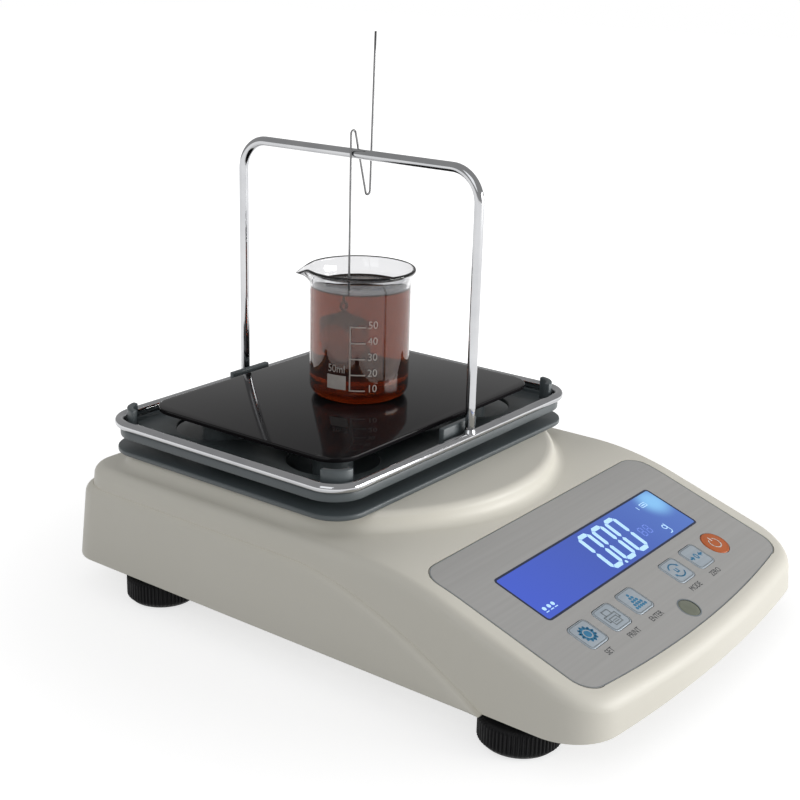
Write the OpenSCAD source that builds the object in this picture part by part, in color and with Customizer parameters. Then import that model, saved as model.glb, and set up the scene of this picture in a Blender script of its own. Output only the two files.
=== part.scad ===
// Benchtop density meter: a balance with a hanging glass sinker, a beaker stand
// that does not touch the balance, and a sloping control panel.
// X is to the operator's right, Y runs to the rear, Z is up. The feet stand on z = 0.

/* [Housing] */
// Width across the lower side panels
body_w = 182; // [176:1:200]
// Length from the front rim to the rear wall
body_l = 255; // [250:1:275]
// Gap between the bench and the underside
ground_gap = 12.5; // [12:0.5:15]
// Height of the flat top above the underside
body_h = 40; // [38:0.5:46]
// Wall thickness of the shells
wall = 2.5; // [2:0.1:3]
// How far the lower side panels stand proud
side_step = 2.2; // [1:0.1:3]
// Lean of the side walls, in degrees
draft = 4; // [2:0.5:5]
// Radius of the vertical corners at the rear
corner_r = 14; // [10:1:18]
// Radius of the vertical corners at the front
front_r = 20; // [14:1:24]
// Radius along the upper edges
edge_r = 4; // [3:0.5:5]
// How far the front edge bows out at its middle
front_bow = 6.5; // [4:0.5:9]
// Height of the side panel's ledge above the underside
ledge_h = 31.5; // [28:0.5:34]
// Distance from the front rim to the foot of the ledge curve
ledge_foot = 46; // [40:1:58]
// Distance from the front rim to the start of the ledge curve
ledge_start = 133; // [110:1:137]

/* [Platform] */
// Distance from the platform to the edges of the flat top at its sides
platform_inset = 8; // [6:0.5:12]
// Depth of the raised platform
platform_d = 122; // [116:1:126]
// Height of the raised platform
platform_h = 6.8; // [6:0.2:9]
// Distance from the round apron in front of the platform to the top of the slope
apron_gap = 4; // [3:0.5:8]
// Distance from the rear wall to the middle of the weighing pan
pan_set_back = 77; // [76:1:82]

/* [Control panel] */
// Slope of the control panel, in degrees
panel_tilt = 18.5; // [16:0.5:19]
// Length of the sloping part, measured level
panel_run = 84; // [83:1:90]
// Distance from the printed overlay's rear corners to the sides of the slope
overlay_margin = 9.5; // [9:0.5:14]
// How much narrower the overlay is at its front corners
overlay_taper = 0; // [0:0.5:8]
// Thickness of the overlay
overlay_t = 0.8; // [0.5:0.1:1]
// Distance from the top of the slope to the overlay
overlay_start = 2; // [1.5:0.5:4]
// Straight length of the overlay's sides
overlay_side = 73.5; // [70:0.5:75]
// How far the overlay's front edge bows out
overlay_bow = 5.5; // [4:0.5:7]
// Corner radius of the overlay
overlay_r = 9; // [5:1:12]
// Width of the display window
window_w = 115; // [100:1:120]
// Height of the display window
window_h = 24.8; // [22:0.2:26]
// Distance from the top of the slope to the display window
window_start = 21.3; // [20.5:0.1:23]
// Side of a square key
key_size = 12; // [10:0.2:13]
// Corner radius of a square key
key_r = 2.2; // [1:0.2:3]
// Distance between neighbouring keys
key_pitch = 17; // [16.6:0.1:18]
// Distance from the top of the slope to the row of keys
key_row = 58.5; // [58:0.5:60]
// Diameter of the round power key
power_d = 12.4; // [12:0.2:14]
// Travel of the keys
key_travel = 0.4; // [0.2:0.05:0.5]
// Distance from the top of the slope to the level window
level_row = 73.4; // [72.5:0.1:76]
// Diameter of the level window
level_d = 9.4; // [8:0.2:11]

/* [Plates] */
// Width of the lower plate
lower_w = 162; // [158:1:170]
// Depth of the lower plate
lower_d = 126; // [122:1:132]
// Thickness of the lower plate
lower_t = 2.2; // [1.8:0.1:3]
// Corner radius of the lower plate and of the tray
plate_r = 14; // [10:1:18]
// Width of the weighing tray
tray_w = 161.2; // [160.8:0.2:164]
// Depth of the weighing tray
tray_d = 123.6; // [123.2:0.2:126]
// Height of the weighing tray's rim
tray_t = 3.7; // [3:0.1:4.5]
// Thickness of the weighing tray's floor
tray_floor = 1.8; // [1.5:0.1:2.5]
// Free height between the lower plate and the tray
tray_gap = 4.8; // [4.2:0.1:6]
// Diameter of the tray's four holes
hole_d = 37; // [32:1:38]
// Spacing of the holes and posts across the width
post_dx = 92; // [88:1:96]
// Spacing of the holes and posts along the depth
post_dy = 60; // [56:1:64]
// Diameter of the support posts
post_d = 16; // [12:1:18]
// Height of the support posts
post_h = 14.3; // [14:0.1:18]
// Width of the dark sample plate
sample_w = 136; // [130:1:140]
// Depth of the dark sample plate
sample_d = 102; // [96:1:104]
// Thickness of the dark sample plate
sample_t = 2; // [1.5:0.1:3]
// Corner radius of the dark sample plate
sample_r = 12; // [6:1:13]
// Height of the tray's lips and tabs
lip_h = 7.6; // [6:0.2:9]
// Length of the straight tabs
tab_l = 23; // [16:1:28]

/* [Wire frame] */
// Diameter of the chromed wire
wire_d = 4; // [3:0.1:4.4]
// Width of the ring, from wire middle to wire middle
ring_w = 160.4; // [158:0.2:160.4]
// Depth of the ring, from wire middle to wire middle
ring_d = 122.8; // [120:0.2:122.8]
// Corner radius of the ring at the wire's middle
ring_r = 12; // [10:0.5:14]
// Height of the arch above the ring, from wire middle to wire middle
arch_h = 106.8; // [102:0.5:112]
// Bend radius of the arch at the wire's middle
arch_r = 13; // [8:0.5:16]
// Arch's place to the right of the pan's middle
arch_x = 2; // [0:0.5:4]

/* [Beaker and sinker] */
// Outside diameter of the beaker
beaker_d = 42; // [40:0.5:44]
// Height of the beaker
beaker_h = 54.5; // [52:0.5:58]
// Thickness of the beaker's glass
glass_t = 1.5; // [1.2:0.1:2]
// Diameter over the beaker's rolled rim
rim_d = 46; // [45.5:0.5:49]
// Beaker's place to the right of the pan's middle
beaker_x = 3.8; // [0:0.1:4]
// Beaker's place behind the pan's middle
beaker_y = -2.7; // [-4:0.1:0]
// Diameter of the hook's thin wire
hook_d = 1; // [0.8:0.1:1.2]
// Length of the thin wire below its bend
hook_drop = 70; // [68:1:72]
// Rise of the hook's straight handle above the arch
handle_rise = 46; // [30:1:60]
// Diameter of the sinker
sinker_d = 15; // [12:0.5:16]
// Length of the sinker's straight part
sinker_l = 13; // [10:0.5:14]

/* [Feet] */
// Diameter of the knurled foot wheels
wheel_d = 29.8; // [26:0.2:30]
// Height of the foot wheels
wheel_h = 10.6; // [8:0.1:10.8]
// Number of flutes round a foot wheel
wheel_flutes = 48; // [36:2:60]
// Distance from the side panels to the feet
foot_side = 15.5; // [15:0.5:18]
// Distance from the front rim to the front feet
foot_front = 39; // [37:1:43]
// Distance from the rear wall to the rear feet
foot_rear = 41; // [38:1:48]
// Diameter of the threaded studs
stud_d = 6; // [5:0.5:8]

/* [Load cell] */
// Length of the load cell
cell_l = 130; // [120:1:136]
// Width of the load cell
cell_w = 30; // [26:1:36]
// Height of the load cell
cell_h = 22; // [20:0.5:24]
// Gap under the load cell
cell_gap = 5; // [4.5:0.1:6]
// Sinking of the pan at its stop
pan_travel = 0.2; // [0.1:0.05:0.25]
// Diameter of the pan's stem
stem_d = 12; // [10:0.5:14]

/* [Hidden] */

// clearances
fit = 0.05;
slip = 0.25;
seat = 0.3;
bite = 0.6;
smooth = 64;

// housing levels and lines
under_z = ground_gap;
top_z = under_z + body_h;
floor_z = under_z + wall;
front_y = -body_l / 2;
rear_y = body_l / 2;
break_y = front_y + panel_run;
pan_y = rear_y - pan_set_back;
ledge_z = under_z + ledge_h;
lean = tan(draft);
upper_w = body_w - 2 * side_step;
top_w = upper_w - 2 * body_h * lean;
rim_w = top_w + 2;
platform_w = top_w - 2 * platform_inset;
apron_r = pan_y - break_y - apron_gap;
front_undercut = 1.5;
ledge_curve = 1.65;
ledge_slope = 3;
platform_z = top_z + platform_h;
foot_soft = 4;

// plate levels
lower_z = platform_z;
lower_top = lower_z + lower_t;
tray_z = lower_top + tray_gap;
tray_top = tray_z + tray_t;
ring_z = tray_top + wire_d / 2;
sample_z = lower_top + post_h;
sample_top = sample_z + sample_t;
arch_z = ring_z + arch_h;
lip_t = 2.4;
lip_play = 1.2;
tray_rim = 3;
lip_rise = tray_t - tray_floor + lip_h;
lip_out = ring_r - wire_d / 2 - lip_play;
pocket_play = 0.8;
stem_hole_d = stem_d + 8;

// control panel stack, measured down from the panel's face
recess_t = overlay_t;
overlay_w = rim_w - 2 * overlay_margin;
key_rise = 0.2;
key_edge = 1.2;
flange_t = 0.7;
key_cap_t = wall + 0.4;
switch_h = 3.5;
switch_w = 6;
key_stem_d = 3;
board_n = 8.8;
board_t = 1.6;
display_board_start = 16;
display_board_l = 50.4;
board_boss_d = 6;
board_boss_in = 4;
board_boss_play = 1.8;
board_hole_d = 2.6;
board_screw_l = 5;
board_head_d = 4.6;
lcd_frame = 3.4;
board_boss_x = (window_w + lcd_frame + board_boss_d) / 2 + board_boss_play;
display_board_w = 2 * (board_boss_x + board_boss_in);
board_boss_s = [display_board_start + board_boss_in,
    display_board_start + display_board_l - board_boss_in];
board_bosses_at = [for (x = [-1, 1]) for (s = board_boss_s) [x * board_boss_x, -s]];
window_lip = 1.5;
level_wall = 1.2;
vial_d = 10;
vial_h = 5;
vial_drop = 6.4;

// load cell and pan carrier
cell_z = floor_z + cell_gap;
cell_top = cell_z + cell_h;
cell_back = 12;
cell_rear = rear_y - cell_back;
cell_front = cell_rear - cell_l;
cell_mid = cell_rear - cell_l / 2;
cell_end = 26;
pad_t = 3;
arm_t = 4;
arm_z = cell_top + pad_t + pan_travel + 0.1;
arm_past = 12;
cross_t = 2.5;
cross_z = tray_z - cross_t;
cross_x = 70;
cross_y = 46;
cross_arm = 14;
cell_bore_d = 14;
cell_screw_d = 5;
cell_screw_pitch = 15;
cell_screw_grip = 12;
screw_head_h = 1.8;
plate_screw_grip = 7;
cross_screw_d = 4;
cross_head_d = 8;

// main board
main_w = 104;
main_l = 50;
main_gap = 15;
main_y = cell_front - main_gap - main_l;
main_post_h = 4;
main_z = floor_z + main_post_h;
main_inset = 5;
main_post_d = 6;
small_hole_d = 2.9;
chip_w = 14;
chip_t = 1.6;
relay_w = 10;
relay_l = 8;
relay_h = 3;
capacitor_d = 8;
capacitor_h = 6;
header_l = 5;
header_h = 4;
ribbon_w = 28;
ribbon_t = 0.8;
ribbon_y = main_y + 34;
ribbon_shift = 6;

// rear ports
port_z = under_z + 16;
recess_w = 84;
recess_h = 20;
port_y = rear_y - 2.5;
serial_x = -22;
jack_x = 26;
serial_w = 31;
serial_h = 12.6;
shell_w = 17;
shell_h = 8.4;
serial_screw_x = 12.5;
shell_slope = 1.4;
shell_out = 2.2;
shell_in = 7;
pin_pitch = 2.77;
pin_d = 1.2;
port_cut = 16;
jack_d = 10;
jack_bore_d = 5.6;
jack_pin_d = 2;
jack_depth = 9;

// feet
foot_y = [front_y + foot_front, rear_y - foot_rear];
foot_places = [for (y = foot_y) for (side = [-1, 1]) [side * (body_w / 2 - foot_side), y]];
insert_d = 10;
insert_h = 9;
stud_base = 2;

// housing screws
rear_screw = [body_w / 2 - 19, rear_y - 14];
middle_screw = [body_w / 2 - 13, pan_y - 62];
front_screw = [body_w / 2 - 33, front_y + 17];
shell_screws = [for (p = [rear_screw, middle_screw, front_screw]) for (side = [-1, 1])
    [side * p[0], p[1]]];
shell_screw_l = 10;
shell_pilot_h = 14;
screw_d = 3;
head_d = 5.6;
boss_d = 8;

// beaker and sinker
hook_spread = (wire_d + hook_d) / 2 + 0.06;
hook_x = arch_x - hook_spread;
hook_slant = 16;
hook_lean = 1.5;
hook_bend = 1.45;
hook_turn = 1.5;
bend_mid = [hook_bend, arch_z
    + (hook_spread - hook_bend) * (1 + cos(hook_slant)) / sin(hook_slant)];
slant_l = bend_mid[1] - arch_z + 18;
handle_l = slant_l + handle_rise - 8;
hook_end = arch_z - hook_drop + 10;
cone_h = 4;
eye_r = 1.6;
sinker_top = hook_end - 2 * eye_r - hook_d / 4;

cream = [0.88, 0.87, 0.81];
grey = [0.42, 0.46, 0.48];
black = [0.05, 0.05, 0.06];
chrome = [0.85, 0.86, 0.88];
steel = [0.7, 0.71, 0.72];
brass = [0.78, 0.62, 0.3];
board_green = [0.1, 0.35, 0.2];
glass = [0.8, 0.9, 0.92, 0.4];

function top_at(y) = y > break_y ? top_z : top_z - (break_y - y) * tan(panel_tilt);
function bow_radius(half, bow) = (half * half + bow * bow) / (2 * bow);

// places children on the sloping panel: x across, y up the slope, z out of the face
module on_panel() translate([0, break_y, top_z]) rotate([panel_tilt, 0, 0]) children();

// flat outline with round corners and a bowed front edge
module plan(half, back, front, r_front, r_back, bow) {
    big = bow_radius(half, bow);
    big_y = front + big;
    corner_y = big_y - sqrt(pow(big - r_front, 2) - pow(half - r_front, 2));
    strip = (half - r_front) * big / (big - r_front);
    intersection() {
        translate([0, big_y]) circle(r = big, $fn = 720);
        translate([-strip, front - 1]) square([2 * strip, back - r_back - front]);
    }
    translate([-half, corner_y]) square([2 * half, back - r_back - corner_y]);
    translate([r_back - half, corner_y]) square([2 * (half - r_back), back - corner_y]);
    for (side = [-1, 1]) {
        translate([side * (half - r_front), corner_y]) circle(r = r_front);
        translate([side * (half - r_back), back - r_back]) circle(r = r_back);
    }
}

// flat rectangle with round corners, centred
module round_rect(w, d, r) {
    square([w - 2 * r, d], center = true);
    square([w, d - 2 * r], center = true);
    for (x = [-1, 1]) for (y = [-1, 1])
        translate([x * (w / 2 - r), y * (d / 2 - r)]) circle(r = r);
}

// the upper body: flat top, sloping panel, leaning walls, soft upper edges
module body_form(inset) {
    e = max(edge_r - inset, 0.5);
    half = upper_w / 2 - inset;
    half_top = top_w / 2 - inset;
    half_rim = rim_w / 2 - inset;
    back = rear_y - side_step - inset;
    back_top = back - body_h * lean;
    r = corner_r - inset;
    bend = front_r - inset;
    rim_l = (panel_run - inset - e * (1 - sin(panel_tilt))) / cos(panel_tilt);
    big = bow_radius(half_rim, front_bow);
    hull($fn = 32) {
        translate([0, 0, under_z - (inset > 0 ? 1 : 0)])
            linear_extrude(0.5) plan(half, back, front_y + front_undercut + inset, bend, r, front_bow);
        for (side = [-1, 1]) {
            translate([side * (half_top - r), back_top - r, top_z - inset - e])
                rotate_extrude() translate([r - e, 0]) circle(r = e);
            translate([side * (half_top - e), break_y + e * tan(panel_tilt / 2), top_z - inset - e])
                sphere(r = e);
            on_panel() translate([side * (half_rim - bend), front_bow + bend - rim_l - e, -inset - e])
                rotate_extrude() translate([bend - e, 0]) circle(r = e);
        }
        on_panel() for (k = [-5:5]) {
            x = k / 6 * (half_rim - bend);
            translate([x, big - sqrt(big * big - x * x) - rim_l, -inset - e]) sphere(r = e);
        }
    }
}

// lower side panels: proud of the upper body, with a ledge that curves down to the front
module side_panels() {
    run = ledge_start - ledge_foot;
    intersection() {
        rotate([90, 0, 90]) translate([0, 0, -body_w / 2]) linear_extrude(body_w) polygon(concat(
            [[rear_y, under_z], [rear_y, ledge_z]],
            [for (k = [0:12]) [front_y + ledge_start - run * k / 12,
                under_z + ledge_h * (1 - pow(k / 12, ledge_curve))]]));
        hull($fn = 48) {
            translate([0, 0, under_z]) linear_extrude(0.1)
                plan(body_w / 2, rear_y, front_y, front_r, corner_r, front_bow);
            translate([0, 0, ledge_z - ledge_slope]) linear_extrude(0.1)
                plan(body_w / 2 - ledge_h * lean, rear_y - ledge_h * lean, front_y,
                    front_r, corner_r, front_bow);
            translate([0, 0, ledge_z]) linear_extrude(0.1)
                plan(body_w / 2 - ledge_h * lean - side_step, rear_y - ledge_h * lean - side_step,
                    front_y, front_r, corner_r, front_bow);
        }
    }
}

// raised platform: rectangular at the rear, a round apron in front, softly footed all round
module platform_form(inset) {
    half = platform_w / 2 - inset;
    low = top_z - wall - 1;
    high = platform_z - inset;
    translate([0, pan_y, 0]) intersection() {
        rotate([90, 0, 0]) translate([0, 0, -apron_r]) linear_extrude(2 * apron_r + 20)
            polygon(concat([[-half - foot_soft, low]], flank(-half, -1, high), flank(half, 1, high),
                [[half + foot_soft, low]]));
        rotate_extrude($fn = 128) polygon(concat([[0, low], [0, high]],
            flank(apron_r - inset, 1, high), [[apron_r - inset + foot_soft, low]]));
        rotate([90, 0, 90]) translate([0, 0, -platform_w]) linear_extrude(2 * platform_w)
            polygon(concat([[-apron_r - 20, low], [-apron_r - 20, high]],
                flank(platform_d / 2 - inset, 1, high), [[platform_d / 2 - inset + foot_soft, low]]));
    }
}
// edge of the platform, from its top down to a soft foot, on the left (-1) or right (1)
function flank(at, side, high) = [for (k = side > 0 ? [0:6] : [6:-1:0])
    [at + side * foot_soft * (1 - cos(k * 15)), top_z + (high - top_z) * (1 - sin(k * 15))]];

module overlay_plan(grow) {
    half = overlay_w / 2 + grow;
    front_half = half - overlay_taper / 2;
    big = bow_radius(front_half, overlay_bow);
    r = overlay_r + grow;
    back = grow - overlay_start;
    side_end = -overlay_start - overlay_side - grow;
    hull($fn = 32) {
        for (side = [-1, 1]) {
            translate([side * (half - r), back - r]) circle(r = r);
            translate([side * (front_half - r), side_end + r]) circle(r = r);
        }
        for (k = [-6:6]) {
            x = k / 8 * front_half;
            drop = overlay_bow - (big - sqrt(big * big - x * x));
            translate([x, side_end - drop + 1]) circle(r = 1);
        }
    }
}

module rounded_block(w, d, h, r) linear_extrude(h) round_rect(w, d, r, $fn = 32);

// positions of the five square keys, counted in pitches from the middle
module key_place(k) on_panel() translate([k * key_pitch, -key_row, 0]) children();
module power_place() on_panel() translate([3 * key_pitch, -key_row, 0]) children();
key_slots = [-3, -2, -1, 1, 2];

module screw(d, l, head, head_h) {
    cylinder(d = d, h = l, $fn = 32);
    translate([0, 0, -head_h]) difference() {
        cylinder(d = head, h = head_h, $fn = 32);
        translate([0, 0, -1]) cylinder(d = d * 0.8, h = head_h / 2 + 1, $fn = 6);
    }
}

module shell_bosses() for (p = shell_screws)
    translate([p[0], p[1], floor_z + fit])
        cylinder(d = boss_d, h = top_at(p[1] - boss_d / 2) - wall + bite - floor_z, $fn = 32);

module board_bosses() on_panel() for (p = board_bosses_at)
    translate([p[0], p[1], -board_n])
        difference() {
            cylinder(d = board_boss_d, h = board_n - wall + bite, $fn = 32);
            translate([0, 0, -1]) cylinder(d = board_hole_d, h = board_n - wall, $fn = 32);
        }

module housing_top() {
    color(cream) difference() {
        union() {
            difference() {
                union() {
                    body_form(0);
                    side_panels();
                    platform_form(0);
                }
                body_form(wall);
                platform_form(wall);
            }
            shell_bosses();
            board_bosses();
        }
        translate([0, pan_y, top_z]) cylinder(d = stem_hole_d, h = 2 * platform_h, $fn = smooth);
        for (x = [-1, 1]) for (y = [-1, 1])
            translate([x * post_dx / 2, pan_y + y * post_dy / 2, top_z - wall])
                cylinder(d = small_hole_d, h = platform_h + 2 * wall, $fn = 32);
        for (p = shell_screws) translate([p[0], p[1], under_z])
            cylinder(d = screw_d + 2 * fit, h = shell_pilot_h, $fn = 32);
        on_panel() {
            translate([0, 0, -recess_t]) linear_extrude(recess_t + 2) overlay_plan(slip);
            translate([0, -window_start - window_h / 2, -2 * wall])
                rounded_block(window_w - 2 * window_lip, window_h - 2 * window_lip, 2 * wall + 1, 1);
            translate([0, -level_row, -2 * wall])
                cylinder(d = level_d - 2 * level_wall, h = 2 * wall + 1, $fn = smooth);
        }
        for (k = key_slots) key_place(k) translate([0, 0, -2 * wall])
            rounded_block(key_size + 2 * slip, key_size + 2 * slip, 2 * wall + 1, key_r + slip);
        power_place() translate([0, 0, -2 * wall])
            cylinder(d = power_d + 2 * slip, h = 2 * wall + 1, $fn = smooth);
        translate([-recess_w / 2, port_y, port_z - recess_h / 2]) cube([recess_w, 5, recess_h]);
        translate([serial_x - shell_w / 2 - 1, rear_y - port_cut, port_z - shell_h / 2 - 1])
            cube([shell_w + 2, port_cut, shell_h + 2]);
        translate([jack_x, rear_y - port_cut, port_z]) rotate([-90, 0, 0])
            cylinder(d = jack_d + 2 * fit, h = port_cut, $fn = smooth);
        for (x = [-1, 1]) translate([serial_x + x * serial_screw_x, rear_y - port_cut, port_z])
            rotate([-90, 0, 0]) cylinder(d = small_hole_d, h = port_cut, $fn = 32);
    }
}

module housing_base() {
    half = upper_w / 2 - wall - seat;
    color(cream) difference() {
        union() {
            translate([0, 0, under_z]) linear_extrude(wall)
                plan(half, rear_y - side_step - wall - seat, front_y + front_undercut + wall + seat,
                    front_r - wall - seat, corner_r - wall - seat, front_bow, $fn = smooth);
            for (p = foot_places) translate([p[0], p[1], under_z])
                cylinder(d = insert_d + 5, h = insert_h + 2, $fn = smooth);
            for (p = main_posts()) translate([p[0], p[1], under_z])
                cylinder(d = main_post_d, h = wall + main_post_h, $fn = 32);
            translate([0, level_y(), under_z])
                cylinder(d = vial_d + 4, h = level_top() - vial_h - seat - under_z, $fn = smooth);
        }
        for (p = foot_places) translate([p[0], p[1], under_z - 1])
            cylinder(d = insert_d + 2 * fit, h = insert_h + 1 + fit, $fn = smooth);
        for (p = foot_places) translate([p[0], p[1], under_z])
            cylinder(d = stud_d + 1, h = insert_h + 4, $fn = 32);
        for (p = shell_screws) translate([p[0], p[1], under_z - 1]) {
            cylinder(d = screw_d + 0.4, h = wall + 2, $fn = 32);
            cylinder(d = head_d + 0.6, h = 1 + wall / 2, $fn = 32);
        }
        for (p = main_posts()) translate([p[0], p[1], floor_z])
            cylinder(d = board_hole_d, h = main_post_h + 1, $fn = 32);
        for (p = spacer_screws()) translate([p[0], p[1], under_z - 1]) {
            cylinder(d = cell_screw_d + 0.4, h = wall + 2, $fn = 32);
            cylinder(d = 2 * cell_screw_d - 1, h = 1 + wall / 2, $fn = 32);
        }
        translate([0, stop_y(), under_z - 1]) cylinder(d = 4 + 2 * fit, h = wall + 2, $fn = 32);
    }
}

function main_posts() = [for (x = [-1, 1]) for (y = [main_inset, main_l - main_inset])
    [x * (main_w / 2 - main_inset), main_y + y]];
function level_y() = break_y - level_row * cos(panel_tilt);
function level_top() = top_at(level_y()) - vial_drop;
function spacer_screws() = [for (y = [-1, 1]) [0, cell_rear - cell_end / 2 + y * cell_screw_pitch / 2]];
function arm_screw_places() = [for (y = [-1, 1])
    [0, cell_front + cell_end / 2 + y * cell_screw_pitch / 2]];
function stop_y() = cell_front + 5;

module housing_screws() color(steel) for (p = shell_screws)
    translate([p[0], p[1], under_z + wall / 2]) screw(screw_d, shell_screw_l, head_d, wall / 2);

module control_overlay() color([0.68, 0.69, 0.71]) on_panel() difference() {
    translate([0, 0, -overlay_t]) linear_extrude(overlay_t) overlay_plan(0);
    translate([0, -window_start - window_h / 2, -1])
        rounded_block(window_w + 2 * fit, window_h + 2 * fit, 2, 1.5);
    for (k = key_slots) translate([k * key_pitch, -key_row, -1])
        rounded_block(key_size + 2 * slip, key_size + 2 * slip, 2, key_r + slip);
    translate([3 * key_pitch, -key_row, -1]) cylinder(d = power_d + 2 * slip, h = 2, $fn = smooth);
    translate([0, -level_row, -1]) cylinder(d = level_d + 2 * fit, h = 2, $fn = smooth);
}

module display_window() color([0.2, 0.35, 0.9]) on_panel()
    translate([0, -window_start - window_h / 2, -overlay_t])
        rounded_block(window_w, window_h, overlay_t, 1.5);

module lcd_module() color([0.15, 0.25, 0.7]) on_panel()
    translate([0, -window_start - window_h / 2, -board_n])
        rounded_block(window_w + lcd_frame, window_h + lcd_frame, board_n - wall - seat, 1);

module display_board() color(board_green) on_panel() difference() {
    translate([-display_board_w / 2, -display_board_start - display_board_l, -board_n - board_t])
        cube([display_board_w, display_board_l, board_t]);
    for (p = board_bosses_at) translate([p[0], p[1], -board_n - 2])
        cylinder(d = small_hole_d, h = 3, $fn = 32);
}

module board_screws() color(steel) on_panel() for (p = board_bosses_at)
    translate([p[0], p[1], -board_n - board_t])
        screw(board_hole_d - 2 * fit, board_screw_l, board_head_d, screw_head_h);

module key_body(w, r) {
    translate([0, 0, -key_cap_t]) rounded_block(w, w, key_cap_t + key_rise, r);
    translate([0, 0, -key_cap_t - flange_t]) rounded_block(w + 2 * key_edge, w + 2 * key_edge, flange_t, r);
    translate([0, 0, -(board_n - switch_h) + key_travel + 0.1])
        cylinder(d = key_stem_d, h = board_n - switch_h - key_travel - key_cap_t, $fn = 32);
}

module square_key(k) color([0.75, 0.76, 0.78]) key_place(k) key_body(key_size, key_r);
module key_set() square_key(-3);
module key_print() square_key(-2);
module key_enter() square_key(-1);
module key_mode() square_key(1);
module key_zero() square_key(2);
module key_power() color([0.78, 0.34, 0.14]) power_place() {
    translate([0, 0, -key_cap_t]) cylinder(d = power_d, h = key_cap_t + key_rise, $fn = smooth);
    translate([0, 0, -key_cap_t - flange_t])
        cylinder(d = power_d + 2 * key_edge, h = flange_t, $fn = smooth);
    translate([0, 0, -(board_n - switch_h) + key_travel + 0.1])
        cylinder(d = key_stem_d, h = board_n - switch_h - key_travel - key_cap_t, $fn = 32);
}

module key_switches() color(black) on_panel() for (k = concat(key_slots, [3]))
    translate([k * key_pitch, -key_row, -board_n]) {
        translate([0, 0, (switch_h - 1) / 2]) cube([switch_w, switch_w, switch_h - 1], center = true);
        cylinder(d = key_stem_d, h = switch_h, $fn = 32);
    }

module level_window() color([0.5, 0.53, 0.47]) on_panel() translate([0, -level_row, -overlay_t])
    cylinder(d = level_d, h = overlay_t, $fn = smooth);

module level_vial() color([0.75, 0.85, 0.4]) translate([0, level_y(), level_top() - vial_h])
    cylinder(d = vial_d, h = vial_h, $fn = smooth);

module main_board() color(board_green) {
    difference() {
        translate([-main_w / 2, main_y, main_z]) cube([main_w, main_l, board_t]);
        for (p = main_posts()) translate([p[0], p[1], main_z - 1])
            cylinder(d = small_hole_d, h = board_t + 2, $fn = 32);
    }
    translate([0, main_y, main_z + board_t]) {
        translate([-main_w / 3, main_l / 4, 0]) cube([chip_w, chip_w, chip_t]);
        translate([main_w / 9, main_l / 5, 0]) cube([relay_w, relay_l, relay_h]);
        translate([main_w / 3, main_l * 0.7, 0]) cylinder(d = capacitor_d, h = capacitor_h, $fn = 32);
    }
    translate([-ribbon_w / 2 - 2, ribbon_y - header_l / 2, main_z + board_t])
        cube([ribbon_w + 4, header_l, header_h]);
}

module main_board_screws() color(steel) for (p = main_posts())
    translate([p[0], p[1], main_z + board_t]) mirror([0, 0, 1])
        screw(board_hole_d - 2 * fit, board_screw_l, board_head_d, screw_head_h);

function board_under_at(y) = top_at(y) - (board_n + board_t) / cos(panel_tilt);
module ribbon_cable() color([0.6, 0.62, 0.64]) {
    low = main_z + board_t + header_h;
    far = ribbon_y - ribbon_shift;
    high = board_under_at(far) - seat;
    rotate([90, 0, 90]) translate([0, 0, -ribbon_w / 2]) linear_extrude(ribbon_w) polygon([
        [ribbon_y, low], [ribbon_y + ribbon_t, low],
        [ribbon_y + ribbon_t, low + 1], [far + ribbon_t, high - 1.5],
        [far + ribbon_t, high], [far, high], [far, high - 1.5], [ribbon_y, low + 1]]);
}

module load_cell() color([0.78, 0.79, 0.8]) difference() {
    translate([-cell_w / 2, cell_front, cell_z]) cube([cell_w, cell_l, cell_h]);
    for (y = [-1, 1]) translate([-cell_w, cell_mid + y * cell_bore_d * 0.7, cell_z + cell_h / 2])
        rotate([0, 90, 0]) cylinder(d = cell_bore_d, h = 2 * cell_w, $fn = smooth);
    translate([-cell_w, cell_mid - cell_bore_d * 0.7, cell_z + cell_h / 2 - 2])
        cube([2 * cell_w, cell_bore_d * 1.4, 4]);
    for (p = concat(spacer_screws(), arm_screw_places())) translate([p[0], p[1], cell_z - 1])
        cylinder(d = cell_screw_d + 2 * fit, h = cell_h + 2, $fn = 32);
}

module cell_spacer() color(steel) difference() {
    translate([-cell_w / 2, cell_rear - cell_end, floor_z]) cube([cell_w, cell_end, cell_gap]);
    for (p = spacer_screws()) translate([p[0], p[1], floor_z - 1])
        cylinder(d = cell_screw_d + 2 * fit, h = cell_gap + 2, $fn = 32);
}

module cell_pad() color(steel) difference() {
    translate([-cell_w / 2, cell_front, cell_top]) cube([cell_w, cell_end, pad_t]);
    for (p = arm_screw_places()) translate([p[0], p[1], cell_top - 1])
        cylinder(d = cell_screw_d + 1.5, h = pad_t + 2, $fn = 32);
}

module cell_screws() color(steel) for (p = spacer_screws())
    translate([p[0], p[1], under_z + wall / 2])
        screw(cell_screw_d, wall / 2 + cell_gap + cell_screw_grip, 2 * cell_screw_d - 1.6, wall / 2);

module overload_stop() color(steel) translate([0, stop_y(), under_z])
    cylinder(d = 4, h = wall + cell_gap - seat, $fn = 32);

module pan_arm() color([0.75, 0.76, 0.78]) difference() {
    translate([-cell_w / 2, cell_front, arm_z]) cube([cell_w, pan_y - cell_front + arm_past, arm_t]);
    for (p = arm_screw_places()) translate([p[0], p[1], arm_z - 1])
        cylinder(d = cell_screw_d + 2 * fit, h = arm_t + 2, $fn = 32);
    translate([0, pan_y, arm_z - 1]) cylinder(d = cross_screw_d + 2 * fit, h = arm_t + 2, $fn = 32);
}

module arm_screws() color(steel) for (p = arm_screw_places())
    translate([p[0], p[1], arm_z + arm_t]) mirror([0, 0, 1])
        screw(cell_screw_d, arm_t + pad_t, 2 * cell_screw_d - 1.6, 3);

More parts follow.
